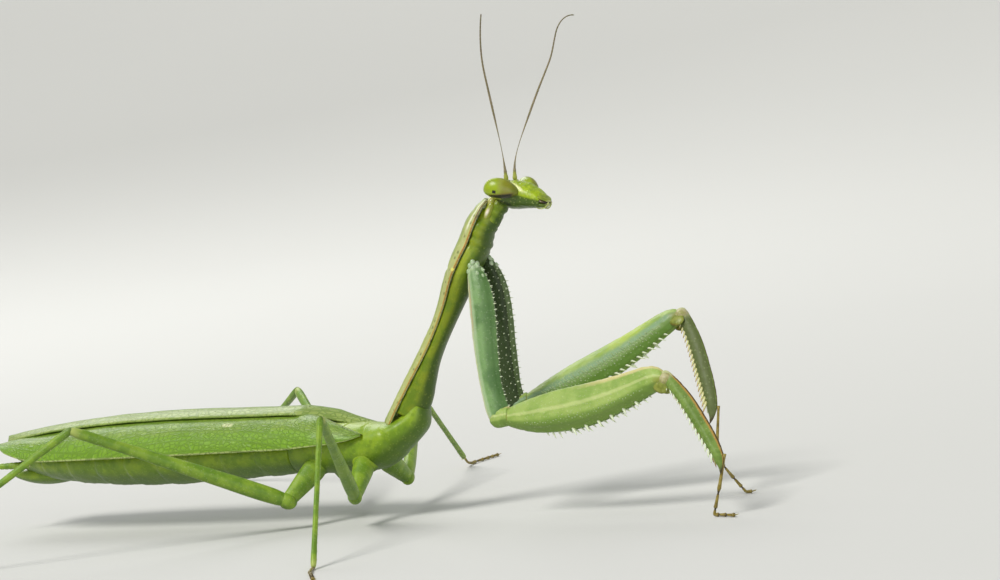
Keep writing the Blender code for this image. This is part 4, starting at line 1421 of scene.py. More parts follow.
    def build(self, dresser: Dresser) -> None:
        """Model and dress the head and its mouthparts."""
        dresser.dress(self.capsule(), HEAD_SKIN, "cuticle", "head")
        for side in Side:
            end = side.value
            eye = bead(f"compound_eye_{end}", self.eye_size, self.eye_frame(side), side, 64,
                       self.eye_drawn, self.eye_taper)
            dresser.dress(eye, EYE_SURFACE, "eye", f"eye_{end}")
            dresser.dress(self.orbit(side), RIM_SKIN, "cuticle")
            dresser.dress(self.antenna_socket(side), RIM_SKIN, "cuticle")
            jaw = self.mouth_part(f"jaw_{end}", JAW, side, 0.42, 10)
            dresser.dress(jaw, MOUTH_SKIN, "mouth", f"mandible_{end}")
            cheek, lip = (self.palp(side, *feeler) for feeler in MOUTH_FEELERS.items())
            dresser.dress(cheek, PALP_SKIN, "cuticle", f"palp_{end}")
            dresser.dress(lip, LIP_SKIN, "cuticle")
        for label, y, z in (("mid", 0.0, 0.95), ("left", 0.3, 1.22), ("right", -0.3, 1.22)):
            frame = shifted(head_frame(), (profile(self.face, z) + 0.02, y, z))
            ocellus = bead(f"ocellus_{label}", Vector((0.12, 0.12, 0.12)), frame, Side.LEFT)
            dresser.dress(ocellus, RIM_SKIN, "cuticle")
        dresser.dress(self.mouth_part("upper_lip", UPPER_LIP), LIP_SKIN, "cuticle", "labrum")
        dresser.dress(self.mouth_part("lower_lip", LOWER_LIP), LIP_SKIN, "cuticle")


@dataclass
class Antenna:
    """Thread-like feeler of many short rings on two stouter joints."""

    side: Side
    length: float
    drift: float
    lean: Table
    plane: float = 34.0
    rings: int = 44
    thickness: Table = ((0, 0.24), (0.5, 0.24), (0.58, 0.14), (0.68, 0.19), (0.88, 0.18),
                        (1.0, 0.155), (8, 0.12), (19, 0.06))  # radius by distance

    def path(self) -> list[Vector]:
        """Follow the feeler from its socket to its tip."""
        point = head_frame() @ Vector((0.72, 0.72 * self.side.sign, 0.57))
        across = heading(self.plane - 90, 0) * self.drift
        steps = self.rings * 4
        points = [point.copy()]
        for i in range(steps):
            lean = profile(self.lean, (i + 0.5) / steps)
            along = heading(self.plane, 90 - lean) + across
            point = point + along * (self.length / steps)
            points.append(point.copy())
        return points

    def build(self, dresser: Dresser) -> None:
        """Model and dress the feeler."""
        points = self.path()
        radii = []
        for i in range(len(points)):
            at = self.length * i / (len(points) - 1)
            radii.append(profile(self.thickness, at) * (1.0 - 0.16 * (i % 4 == 0)))
        radii[-1] = 0.04
        joints = [self.length * (k + 2) / self.rings for k in range(self.rings)]
        piece = draw_thread(f"feeler_{self.side.value}", points, radii, Matrix(), joints, 8)
        dresser.dress(piece, FEELER_SKIN, "antenna", f"antenna_{self.side.value}")


# ---------------------------------------------------------------- raptorial legs


@dataclass
class ForeLeg:
    """Grasping leg: long hip, deep spined thigh, toothed shin with a claw, slim foot."""

    side: Side
    base: tuple[float, float, float]  # station, below and to the right on the thorax
    coxa: tuple[float, float, float, float]  # yaw, pitch, roll, length
    femur: tuple[float, float, float, float]
    tibia: tuple[float, float, float]  # sway, flex, length
    foot: tuple[tuple[float, float, float], ...]  # yaw, pitch, length
    coxa_front: Table = ((0, 0.5), (0.1, 1.25), (0.25, 1.5), (0.6, 0.88), (0.82, 0.64), (0.92, 0.95),
                         (1, 1.2))
    coxa_rear: Table = ((0, 0.6), (0.25, 1.02), (0.7, 1.42), (0.95, 1.32), (1, 1.3))
    coxa_thick: Table = ((0, 0.6), (0.2, 1.05), (0.6, 1.0), (1, 0.85))
    femur_top: Table = ((0, 0.55), (0.1, 0.85), (0.3, 1.25), (0.6, 1.28), (0.78, 1.42),
                        (0.92, 1.65), (1, 1.25))
    femur_bottom: Table = ((0, 0.8), (0.1, 1.6), (0.2, 2.35), (0.42, 3.0), (0.57, 2.9),
                           (0.77, 2.05), (0.9, 1.3), (1, 0.8))
    femur_thick: Table = ((0, 0.6), (0.15, 1.0), (0.4, 1.2), (0.7, 1.05), (0.9, 0.85), (1, 0.7))
    tibia_top: Table = ((0, 0.85), (0.12, 1.15), (0.35, 1.52), (0.6, 1.52), (0.85, 1.25), (1, 0.9))
    tibia_bottom: Table = ((0, 0.5), (0.12, 0.15), (0.5, -0.05), (0.85, -0.1), (1, -0.1))
    tibia_thick: Table = ((0, 0.55), (0.2, 0.5), (0.6, 0.55), (1, 0.42))
    knee_size: tuple[float, float, float] = (0.76, 0.82, 0.72)
    lobe_size: tuple[float, float, float] = (0.92, 0.24, 0.7)

    def __post_init__(self) -> None:
        """Work out where each joint lies."""
        station, below, right = self.base
        sway, flex, length = self.tibia
        self.root = thorax_frame() @ Vector((station, -right, -below))
        self.hip = self.root + heading(*self.coxa[:2]) * self.coxa[3]
        self.thigh_frame = placement(self.hip, *self.femur[:3])
        self.knee = self.hip + heading(*self.femur[:2]) * self.femur[3]
        at_knee = placement(self.knee, *self.femur[:3])
        self.shin_frame = turned(turned(at_knee, sway, "X"), flex, "Y")
        self.foot_run = foot_knots(self.shin_frame @ Vector((length * 0.885, 0, 1.3)), self.foot)

    def stretch(self, label: str, sections: Sequence[Section], frame: Matrix,
                ridges: Sequence[Ridge], sides: int = 16, roughen: float = 0.04) -> Limb:
        """One stretch of the leg, with its ridges."""
        return Limb(f"{label}_fore_{self.side.value}", sections, frame, self.side, ridges, sides,
                    3, roughen)

    def coxa_limb(self) -> Limb:
        """The hip: three-edged, toothed in front, rounded where it meets the thorax."""
        closing = ((-0.035, 0.55), (-0.01, 0.85),
                   *((t, 1) for t in (0.06, 0.14, 0.25, 0.38, 0.52, 0.66, 0.8, 0.9, 0.97)),
                   (1.005, 0.85), (1.02, 0.5))
        ridges = (Ridge(78, 26, ((0, 0), (0.12, 0.12), (0.9, 0.1), (1, 0))),
                  Ridge(-70, 30, ((0, 0), (0.15, 0.08), (0.85, 0.1), (1, 0))),
                  Ridge(5, 45, ((0, 0), (0.2, -0.08), (0.8, -0.08), (1, 0))),
                  Ridge(180, 50, ((0, 0), (0.2, -0.12), (0.8, -0.12), (1, 0))))
        sections = shaped(self.coxa[3], closing, self.coxa_thick, self.coxa_front, self.coxa_rear)
        return self.stretch("hip", sections, placement(self.root, *self.coxa[:3]), ridges)

    def coxa_teeth(self, limb: Limb) -> list[Planting]:
        """White denticles along the front edge and tubercles on the inner face."""
        spots = []
        sign = self.side.sign
        for k, t in enumerate(spread(0.08, 0.93, 24)):
            size = 0.24 + 0.1 * (k % 3 == 0)
            root = limb.surface(t, 78, 0.05)
            spots.append(Planting(root, Vector((0.15, 0.25 * sign, 1)), size, 0.17))
        for row, angle in enumerate((104, 128, 152, 182)):
            for k, t in enumerate(spread(0.1, 0.92, 19)):
                root = limb.surface(t + 0.014 * (row % 2), angle + 5 * math.sin(k * 1.7), 0.04)
                way = limb.outward(angle)
                size = (0.26, 0.17, 0.2, 0.13)[row] * (0.85 + 0.2 * math.sin(k * 2.9))
                spots.append(Planting(root, way, size, size))
        return spots

    def hip_knobs(self, limb: Limb) -> Piece:
        """Model the pale knobs that the hip turns on."""
        knobs = []
        for share, angle, size in ((0.0, 60, 0.3), (0.02, 20, 0.36), (0.03, 95, 0.3), (0.04, -25, 0.3),
                                   (0.05, 55, 0.3), (0.06, 125, 0.28), (0.07, -60, 0.24),
                                   (0.08, 82, 0.24), (0.1, 25, 0.24), (0.12, 58, 0.2)):
            sizes = Vector((size * 1.25, size * 0.85, size * 0.8))
            spot = shifted(limb.frame, limb.surface(share, angle, 0.06))
            knobs.append(bead("hip_knob", sizes, spot, self.side, 16))
        return join_pieces(f"hip_knobs_fore_{self.side.value}", knobs)

    def turning_joint(self) -> Piece:
        """Model the short joint that the thigh turns on, pinched before the thigh."""
        sections = [Section(at, size * 0.88, size * 0.96, size * 1.06) for at, size in
                    ((-1.14, 0.36), (-1.0, 0.66), (-0.6, 0.92), (-0.1, 1.0), (0.4, 0.98),
                     (0.8, 0.98), (1.05, 1.0), (1.2, 0.92), (1.25, 0.8))]
        ridges = (Ridge(55, 40, ((0, 0), (0.4, 0.08), (0.8, 0))),
                  Ridge(-50, 40, ((0, 0), (0.5, 0.1), (0.8, 0))))
        return self.stretch("turning_joint", sections, self.thigh_frame, ridges, 14, 0.06).model()

    def femur_limb(self) -> Limb:
        """The thigh: a deep blade, keeled above, hollow below where the shin folds in."""
        closing = ((0.015, 0.5), (0.035, 0.85),
                   *((t, 1) for t in (0.07, 0.12, 0.2, 0.3, 0.4, 0.5, 0.6, 0.7, 0.8, 0.89)),
                   (0.955, 0.98), (0.99, 0.8), (1.005, 0.5))
        ridges = (Ridge(90, 26, ((0, 0), (0.15, 0.1), (0.85, 0.12), (1, 0))),
                  Ridge(-24, 26, ((0.05, 0), (0.25, 0.16), (0.75, 0.16), (0.92, 0))),
                  Ridge(35, 40, ((0.1, 0), (0.3, -0.1), (0.8, -0.08), (0.95, 0))),
                  Ridge(-58, 24, ((0.1, 0), (0.3, -0.12), (0.75, -0.12), (0.9, 0))),
                  Ridge(-155, 26, ((0.05, 0), (0.25, 0.12), (0.75, 0.12), (0.92, 0))),
                  Ridge(0, 50, ((0.88, 0), (0.95, 0.14), (1, 0.05))),
                  Ridge(180, 50, ((0.88, 0), (0.95, 0.14), (1, 0.05))),
                  Ridge(-90, 20, ((0.2, 0), (0.35, -0.2), (0.85, -0.2), (0.95, 0))))
        sections = shaped(self.femur[3], closing, self.femur_thick, self.femur_top,
                          self.femur_bottom)
        return self.stretch("thigh", sections, self.thigh_frame, ridges)

    def femur_spines(self, limb: Limb) -> list[Planting]:
        """Outer row, close inner row long and short by turns, and the discoidal group."""
        spots = []
        sign = self.side.sign
        for k in range(6):
            root = limb.surface(0.42 + 0.078 * k, -74, 0.15)
            spots.append(Planting(root, Vector((0.5, 0.32 * sign, -1)), 1.05 - 0.06 * k, 0.4))
        for k, t in enumerate(spread(0.38, 0.88, 15)):
            size = (1.15 if k % 2 else 0.75) * (1 - 0.3 * max(0.0, (t - 0.7) / 0.2))
            root = limb.surface(t, -105, 0.12)
            spots.append(Planting(root, Vector((0.84, 0.3 * sign, -0.77)), size, 0.27))
        for k, size in enumerate((0.6, 0.95, 1.05, 0.6)):
            root = limb.surface(0.25 + 0.035 * k, -92 + 4 * (k % 2), 0.15)
            spots.append(Planting(root, Vector((0.35, 0, -1)), size, 0.3))
        return spots

    def femur_grains(self, limb: Limb) -> list[Planting]:
        """Small blunt grains along the outer keels and in rows on the inner face."""
        spots = []
        rows = ((-24, 0.16, 0.86, 44, 0.12), (-12, 0.3, 0.7, 22, 0.09), (2, 0.2, 0.8, 30, 0.08),
                (28, 0.25, 0.75, 20, 0.07), (-153, 0.12, 0.88, 44, 0.3), (-162, 0.15, 0.8, 36, 0.34),
                (-170, 0.2, 0.7, 28, 0.26), (178, 0.25, 0.6, 16, 0.14), (-141, 0.3, 0.85, 28, 0.16))
        for k, (angle, first, last, count, size) in enumerate(rows):
            for i, t in enumerate(spread(first, last, count)):
                turned = angle + 3.5 * math.sin(i * 2.3 + k)
                root = limb.surface(t, turned, 0.05)
                way = limb.outward(turned, -0.3) + Vector((0, 0, 2 * size))
                spots.append(Planting(root, way, size * (0.8 + 0.3 * math.sin(i * 1.9)),
                                      0.14 + 0.2 * size))
        return spots

    def knee_lobes(self) -> Piece:
        """Model the two lobes in which the thigh ends, one on either side of the knee."""
        lobes = []
        for sign in (-1, 1):
            place = turned(shifted(self.thigh_frame, (self.femur[3] * 0.98, 0.5 * sign, -0.62)),
                           40, "Y")
            lobes.append(bead("knee_lobe", Vector(self.lobe_size), place, self.side))
        return join_pieces(f"knee_lobes_fore_{self.side.value}", lobes)

    def tibia_limb(self) -> Limb:
        """The shin, deepest in its outer half and hooked at its end."""
        length = self.tibia[2]
        closing = ((-0.07, 0.5), (-0.045, 0.85),
                   *((t, 1) for t in (0.0, 0.06, 0.13, 0.24, 0.36, 0.48, 0.6, 0.72, 0.82)),
                   (0.88, 0.97))
        sections = shaped(length, closing, self.tibia_thick, self.tibia_top, self.tibia_bottom)
        for t in (i / 5 for i in range(1, 6)):
            size = 1 - 0.88 * t
            middle = 0.55 - 0.66 * t * t
            reach = 0.6 * size
            sections.append(Section((0.88 + 0.12 * t) * length, 0.36 * size,
                                    reach + middle, reach - middle))
        ridges = (Ridge(90, 30, ((0, 0), (0.2, 0.07), (0.8, 0.07), (0.92, 0))),
                  Ridge(40, 30, ((0.1, 0), (0.3, -0.07), (0.75, -0.07), (0.9, 0))),
                  Ridge(-20, 45, ((0.1, 0), (0.3, 0.08), (0.75, 0.08), (0.9, 0))),
                  Ridge(-90, 30, ((0.1, 0), (0.25, -0.12), (0.8, -0.12), (0.9, 0))))
        return self.stretch("shin", sections, self.shin_frame, ridges, 12, 0.03)

    def tibia_spines(self, limb: Limb, row: int) -> list[Planting]:
        """One comb of slanting spines that lengthen towards the claw.

        Args:
            limb: The shin.
            row: 1 for the outer comb, -1 for the closer and longer inner one.

        Returns:
            Where each spine stands.
        """
        spots = []
        count, angle, first = (15, -62, 0.55) if row > 0 else (18, -120, 0.74)
        for k in range(count):
            t = k / (count - 1)
            root = limb.surface(0.13 + 0.7 * t, angle, 0.08)
            way = Vector((1.35, 0.35 * row * self.side.sign, -0.85))
            spots.append(Planting(root, way, first + 0.5 * t**1.3, 0.3 + 0.08 * t - 0.02 * row))
        return spots

    def build(self, dresser: Dresser) -> None:
        """Model and dress the leg from hip to foot."""
        end = f"fore_{self.side.value}"
        coxa, femur, tibia = self.coxa_limb(), self.femur_limb(), self.tibia_limb()
        knee = shifted(placement(self.knee, *self.femur[:3]), (0.12, 0, -0.05))
        for piece, finish, *nodes in (
                (coxa.model(), COXA_SKIN, f"coxa_{end}"),
                (femur.model(), LEG_SKIN, f"femur_{end}"),
                (tibia.model(), SHIN_SKIN, f"tibia_{end}"),
                (self.turning_joint(), LEG_SKIN, f"trochanter_{end}"),
                (bead(f"knee_ball_{end}", Vector(self.knee_size), knee, self.side), JOINT_SKIN),
                (self.knee_lobes(), LOBE_SKIN),
                (self.hip_knobs(coxa), KNOB_SKIN)):
            dresser.dress(piece, finish, "leg", *nodes)
        for name, limb, spots, finish, *shape in (
                (f"hip_teeth_{self.side.value}", coxa, self.coxa_teeth(coxa), PALE_HORN, 0.1),
                (f"thigh_grains_{self.side.value}", femur, self.femur_grains(femur), GRAIN_SKIN, 0.1),
                (f"{femur.name}_spines_outer", femur, self.femur_spines(femur), PALE_HORN, 0.22, 8),
                (f"{tibia.name}_spines_outer", tibia, self.tibia_spines(tibia, 1), PALE_HORN, 0.22, 8),
                (f"{tibia.name}_spines_inner", tibia, self.tibia_spines(tibia, -1), SPINE_HORN, 0.22,
                 8)):
            dresser.dress(plant(name, spots, limb.frame, *shape), finish, "leg")
        foot = model_foot(f"foot_{end}", self.foot_run)
        dresser.dress(foot, FOOT_SKIN, "tarsus", f"tarsus_{end}")


# ---------------------------------------------------------------- trunk


@dataclass
class Trunk:
    """Middle and hind thorax, abdomen, tail feelers and end plate."""

    mesothorax_rear: float = 6.95
    metathorax_rear: float = 13.3
    abdomen_rear: float = 52.5
    segments: int = 9
    abdomen_half: Table = ((13.4, 2.9), (18, 3.25), (30, 3.95), (40, 3.6), (48, 2.4), (52.5, 1.0))
    abdomen_top: Table = ((13.4, 2.3), (18, 2.5), (30, 2.75), (40, 2.4), (48, 1.6), (52.5, 0.8))
    abdomen_bottom: Table = ((13.4, 2.7), (18, 2.9), (30, 3.3), (40, 3.0), (48, 2.1), (52.5, 0.9))

    def mesothorax(self) -> Piece:
        """The ring that bends from the raised thorax down into the level trunk."""
        raised = thorax_frame()
        keys = [
            (raised @ Vector((0.75, 0, -1.6)), *PROTHORAX_TURN, 1.55, 1.1, 1.15),
            (raised @ Vector((-0.9, 0, -1.75)), 12, 50, 2.05, 1.25, 1.7),
            (trunk_point(1.1, 0.1, 1.2), 6, 35, 2.5, 1.35, 2.3),
            (trunk_point(2.7, 0, 0.4), 2, 18, 2.8, 1.95, 2.7),
            (trunk_point(4.6, 0, 0.05), 0, 5, 3.0, 2.35, 2.8),
            (trunk_point(self.mesothorax_rear + 0.3, 0, 0), 0, 0, 2.95, 2.35, 2.7),
        ]
        columns = zip(*((*spot, *sizes) for spot, *sizes in keys))
        tables = [tuple(enumerate(column)) for column in columns]
        rows = []
        for along in spread(0, len(keys) - 1, 56):
            x, y, z, turn, rise, *sizes = (profile(t, along) for t in tables)
            pinch = 1 - 0.035 * bell((along - 2.2) / 0.18) - 0.03 * bell((along - 3.6) / 0.2)
            frame = placement(Vector((x, y, z)), turn, rise)
            rows.append(lay_oval(frame, *(size * pinch for size in sizes), along / 5))
        return lay_rows("middle_thorax", rows, Matrix())

    def metathorax(self) -> Piece:
        """The last ring of the thorax, under the wing roots."""
        table = ((6.9, 2.9), (9.0, 3.08), (11.2, 3.05), (13.5, 2.83))
        rows = []
        for back in spread(6.9, 13.5, 36):
            half = profile(table, back) * (1 - 0.03 * bell((back - 10.2) / 0.35))
            frame = placement(trunk_point(back), 0, 0)
            rows.append(lay_oval(frame, half, 2.4, half * 0.92, (back - 6.9) / 6.6))
        return lay_rows("hind_thorax", rows, Matrix())

    def abdomen(self) -> Piece:
        """Draw the abdomen out backwards, each segment's hem lapping over the next."""
        front = self.metathorax_rear
        length = (self.abdomen_rear - front) / self.segments
        sections = []
        for i in range(self.segments):
            for share, swell in ((0.02, 0.965), (0.12, 0.975), (0.5, 1.0), (0.86, 1.01),
                                 (0.97, 1.0)):
                back = front + (i + share) * length
                sizes = [profile(t, back) * swell for t in
                         (self.abdomen_half, self.abdomen_top, self.abdomen_bottom)]
                sections.append(Section(back, *sizes))
        sections.append(Section(self.abdomen_rear + 0.1, 0.6, 0.5, 0.55))
        frame = placement(trunk_point(0), 180, 0)
        ridges = (Ridge(0, 22, ((0, 0.1), (1, 0.05))), Ridge(180, 22, ((0, 0.1), (1, 0.05))),
                  Ridge(-38, 18, ((0, -0.08), (1, -0.04))),
                  Ridge(-142, 18, ((0, -0.08), (1, -0.04))))
        return Limb("abdomen_skin", sections, frame, ridges=ridges, sides=16, levels=2,
                    roughen=0.06).model()

    def tail_feeler(self, side: Side) -> Piece:
        """A short tapering tail feeler of many rings."""
        points, radii = [], []
        for i in range(49):
            t = i / 12
            points.append(trunk_point(50.3 + 1.5 * t, side.sign * (0.9 + 0.53 * t),
                                      -0.35 + 0.05 * t))
            size = profile(((0, 0.36), (1, 0.42), (2, 0.38), (3, 0.3), (4, 0.1)), t)
            radii.append(size * (1 - 0.12 * (i % 4 == 0)))
        return draw_thread(f"tail_feeler_{side.value}", points, radii, Matrix())

    def end_plate(self) -> Piece:
        """The keeled plate below the tip of the abdomen."""
        sections = [Section(back, size * 0.8, size * 0.7, size) for back, size in
                    ((44.6, 0.5), (45.6, 0.8), (47.4, 1.02), (49.6, 1.1), (51.6, 0.95), (53.0, 0.66),
                     (53.9, 0.38), (54.3, 0.2))]
        frame = placement(trunk_point(0, 0, -1.55), 180, 0)
        ridge = Ridge(-90, 24, ((0, 0.0), (0.5, 0.12), (1, 0)))
        return Limb("end_plate", sections, frame, ridges=(ridge,), sides=12, levels=2).model()

    def build(self, dresser: Dresser) -> None:
        """Model and dress the trunk."""
        for piece, node in ((self.mesothorax(), "mesothorax"), (self.metathorax(), "metathorax"),
                            (self.abdomen(), "abdomen"), (self.end_plate(), "ovipositor")):
            dresser.dress(piece, BODY_SKIN, "cuticle", node)
        for side in Side:
            dresser.dress(self.tail_feeler(side), WALKING_SKIN, "walking_leg",
                          f"cercus_{side.value}")


@dataclass
class Wing:
    """A wing folded along the back: a thin curved sheet."""

    node: str
    first: float
    last: float
    flank: float  # layer on the flank
    crest: float  # layer on the back
    half: Table = ((3.6, 3.1), (8, 3.3), (16, 3.5), (30, 4.15), (42, 3.85), (50, 2.9),
                   (55.5, 1.7))
    rise: Table = ((3.6, 2.55), (8, 2.65), (16, 2.75), (30, 2.98), (42, 2.6), (50, 1.85),
                   (55.5, 1.2))
    layer: float = 0.68
    thick: float = 0.16

    def arc(self, back: float) -> tuple[float, float]:
        """Angles from the crest at which the inner and the outer edge lie."""
        opened = profile(((0, 0), (2.5, 0.3), (9, 1)), back - self.first)
        widened = profile(((0, 0), (1.2, 0.6), (3.5, 1)), back - self.first)
        closed = ramp(back, self.last - 9.0, self.last) ** 2
        inner = 56 - 78 * opened + 24 * closed
        if self.node.startswith("hindwing"):
            inner = 6.0
        outer = 62 + 12 * widened + 10 * opened - 42 * closed
        ended = ramp(back, self.last - 2.4, self.last)
        middle, reach = (inner + outer) / 2, max(0.12, math.sqrt(1 - ended**2))
        return middle + (inner - middle) * reach, middle + (outer - middle) * reach

    def edge_lift(self, back: float) -> float:
        """Height at which a forewing's inner edge rests on what lies under it."""
        inner = self.arc(back)[0]
        crossed = profile(((-22, 0.77), (-4, 0.22), (8, 0)), inner) * (self.crest - 1)
        return profile(((7.5, -0.2), (9, 0.04), (13, 0.66)), back) + crossed

    def build(self, dresser: Dresser) -> None:
        """Model and dress the wing."""
        sign = 1 if self.node.endswith("left") else -1
        behind = self.node.startswith("hindwing")
        rows = []
        around = 30
        for back in spread(self.first, self.last, 160):
            inner, outer = self.arc(back)
            share = ramp(back, self.first, self.last)
            rooted = ramp(back, self.first, self.first + 6.0)
            spread_out = ramp(back, self.first + 2.0, self.first + 9.0)
            row = []
            for face in (0, 1):
                for i in range(around + 1):
                    part = (around - i if face else i) / around
                    angle = inner + (outer - inner) * part
                    over = ramp(angle, 52, 30)
                    lift = self.layer * (self.flank + (self.crest - self.flank) * over * spread_out)
                    lift = lift * (0.3 + 0.7 * rooted) + 0.14 + 0.28 * rooted
                    if behind:
                        lift -= 0.34 * (1 - rooted)
                    else:
                        lift += (self.edge_lift(back) - lift) * max(0.0, 1 - part / 0.4) ** 2
                    lift -= 0.0 if face else self.thick
                    lift += 0.05 * noise.noise(Vector((back * 0.35, part * 5, 3)))
                    phi = math.radians(angle)
                    out = (profile(self.half, back) + lift) * math.sin(phi) * sign
                    rise = (profile(self.rise, back) + lift) * math.cos(phi)
                    row.append((trunk_point(back, out, rise), Vector((part, 1.0 - face, share))))
            rows.append(row)
        piece = lay_rows(f"{self.node}_sheet", rows, Matrix())
        places = piece.data.attributes["own_place"].data
        sections = piece.data.attributes["own_section"].data
        for place, section in zip(places, sections):
            width = 1.2 + 5.0 * math.sin(math.pi * min(0.85, section.vector.z + 0.15))
            place.vector = (section.vector.z * (self.last - self.first),
                            section.vector.x * width, 0.0)
        dresser.dress(piece, HINDWING_SKIN if behind else FOREWING_SKIN, "wing", self.node)


@dataclass
class WalkingLeg:
    """Slender middle or hind leg."""

    kind: str
    side: Side
    back: float
    coxa: tuple[float, float, float]  # yaw, pitch, length
    femur: tuple[float, float, float]
    tibia: tuple[float, float, float]
    tarsus: tuple[float, float]
    thick: float
    thin: float
    out: float = 2.1
    height: float = 6.0
    turner: tuple[float, float, float] = (1.0, 0.78, 0.85)  # the joint below the hip
    socket: tuple[float, float, float] = (1.35, 1.6, 1.5)  # the body's swelling round the hip

    def segment(self, label: str, spot: Vector, run: tuple[float, float, float],
                sizes: Table, ends: tuple[float, float] = (-0.015, 1.005)) -> Limb:
        """One segment, thicker at its base, with rounded ends."""
        length = run[2]
        sections = []
        first, last = ends
        for t, close in ((first, 0.5), (first + 0.02, 0.9), (0.08, 1), (0.2, 1), (0.4, 1),
                         (0.6, 1), (0.8, 1), (0.92, 1), (last - 0.02, 0.95), (last, 0.5)):
            size = profile(sizes, t) * close
            sections.append(Section(t * length, size * 0.88, size, size))
        ridges = (Ridge(90, 30, ((0, 0), (0.1, 0.05), (0.9, 0.05), (1, 0))),
                  Ridge(-60, 26, ((0, 0), (0.1, 0.04), (0.9, 0.04), (1, 0))),
                  Ridge(-120, 26, ((0, 0), (0.1, 0.04), (0.9, 0.04), (1, 0))))
        name = f"{label}_{self.kind}_{self.side.value}"
        return Limb(name, sections, placement(spot, run[0], run[1]), self.side, ridges, 12, 2,
                    0.015)

    def bristles(self, limb: Limb, count: int) -> list[Planting]:
        """Short bristles in two rows below a shin, with a pair of spurs at its end."""
        spots = []
        for angle in (-55, -125):
            for t in spread(0.12, 0.93, count):
                root = limb.surface(t, angle, 0.04)
                spots.append(Planting(root, limb.outward(angle, 0.8), 0.22, 0.07))
            root = limb.surface(0.975, angle, 0.05)
            spots.append(Planting(root, Vector((1, 0.3 * self.side.sign, -0.2)), 0.38, 0.14))
        return spots

    def build(self, dresser: Dresser) -> None:
        """Model and dress the leg from hip to foot."""
        label = f"{self.kind}_{self.side.value}"
        joints = [trunk_point(self.back, self.out * self.side.sign, self.height - TRUNK_HEIGHT)]
        for yaw, pitch, length in (self.coxa, self.femur, self.tibia):
            joints.append(joints[-1] + heading(yaw, pitch) * length)
        root, hip, knee, ankle = joints
        thick, thin = self.thick, self.thin
        coxa = self.segment("hip", root, self.coxa, ((0, 1.3), (0.3, 1.15), (0.8, 0.86), (1, 0.74)),
                            (-0.12, 1.0))
        femur = self.segment("thigh", hip, self.femur,
                             ((0, thick * 0.9), (0.12, thick), (0.5, thick * 0.78),
                              (0.85, thin + 0.06), (0.95, thin + 0.13), (1, thin + 0.1)))
        tibia = self.segment("shin", knee, self.tibia,
                             ((0, thin + 0.06), (0.06, thin - 0.02), (0.5, thin - 0.12),
                              (0.9, thin - 0.1), (1, thin - 0.04)))
        for limb, node in ((coxa, "coxa"), (femur, "femur"), (tibia, "tibia")):
            dresser.dress(limb.model(), WALKING_SKIN, "walking_leg", f"{node}_{label}")
        turner = bead(f"turning_joint_{label}", Vector(self.turner) * (thick / 0.83),
                      placement(hip, *self.femur[:2]), self.side, 28)
        dresser.dress(turner, WALKING_SKIN, "walking_leg")
        inward = root - Vector((0, 0.55 * self.side.sign, -0.5))
        socket = bead(f"hip_socket_{label}", Vector(self.socket),
                      placement(inward, *self.coxa[:2]), self.side, 32)
        dresser.dress(socket, BODY_SKIN, "cuticle")
        rows = plant(f"shin_bristles_{label}", self.bristles(tibia, 16), tibia.frame, 0.15, 5)
        dresser.dress(rows, SPINE_HORN, "walking_leg")
        yaw, pitch = self.tibia[:2]
        foot_yaw, foot_length = self.tarsus
        runs = ((yaw, pitch, 1.2), ((yaw + foot_yaw) / 2, -12, 2.2),
                (foot_yaw, -4, foot_length - 3.4))
        foot = model_foot(f"foot_{label}", foot_knots(ankle + heading(yaw, pitch) * 0.1, runs))
        dresser.dress(foot, FOOT_SKIN, "tarsus", f"tarsus_{label}")


# ---------------------------------------------------------------- studio


@dataclass(frozen=True)
class StudioPaper:
    """Matt paper roll: even and pale, with no gloss."""

    name: str = "matt studio paper"
    colour: str = "cfcfcb"
    cloud: str = "d3d3cf"
    roughness: float = 0.9

    def material(self) -> bpy.types.Material:
        """Build the paper's shader, faintly uneven."""
        wiring = Wiring(self.name)
        place = add_node(wiring.tree, "TexCoord").outputs["Object"]
        clouds = add_node(wiring.tree, "TexNoise", {"Vector": place, "Scale": 6.0}).outputs["Fac"]
        tint = wiring.blend(clouds, linear(self.colour), linear(self.cloud))
        feed(wiring.shader, {"Base Color": tint, "Roughness": self.roughness})
        return wiring.made


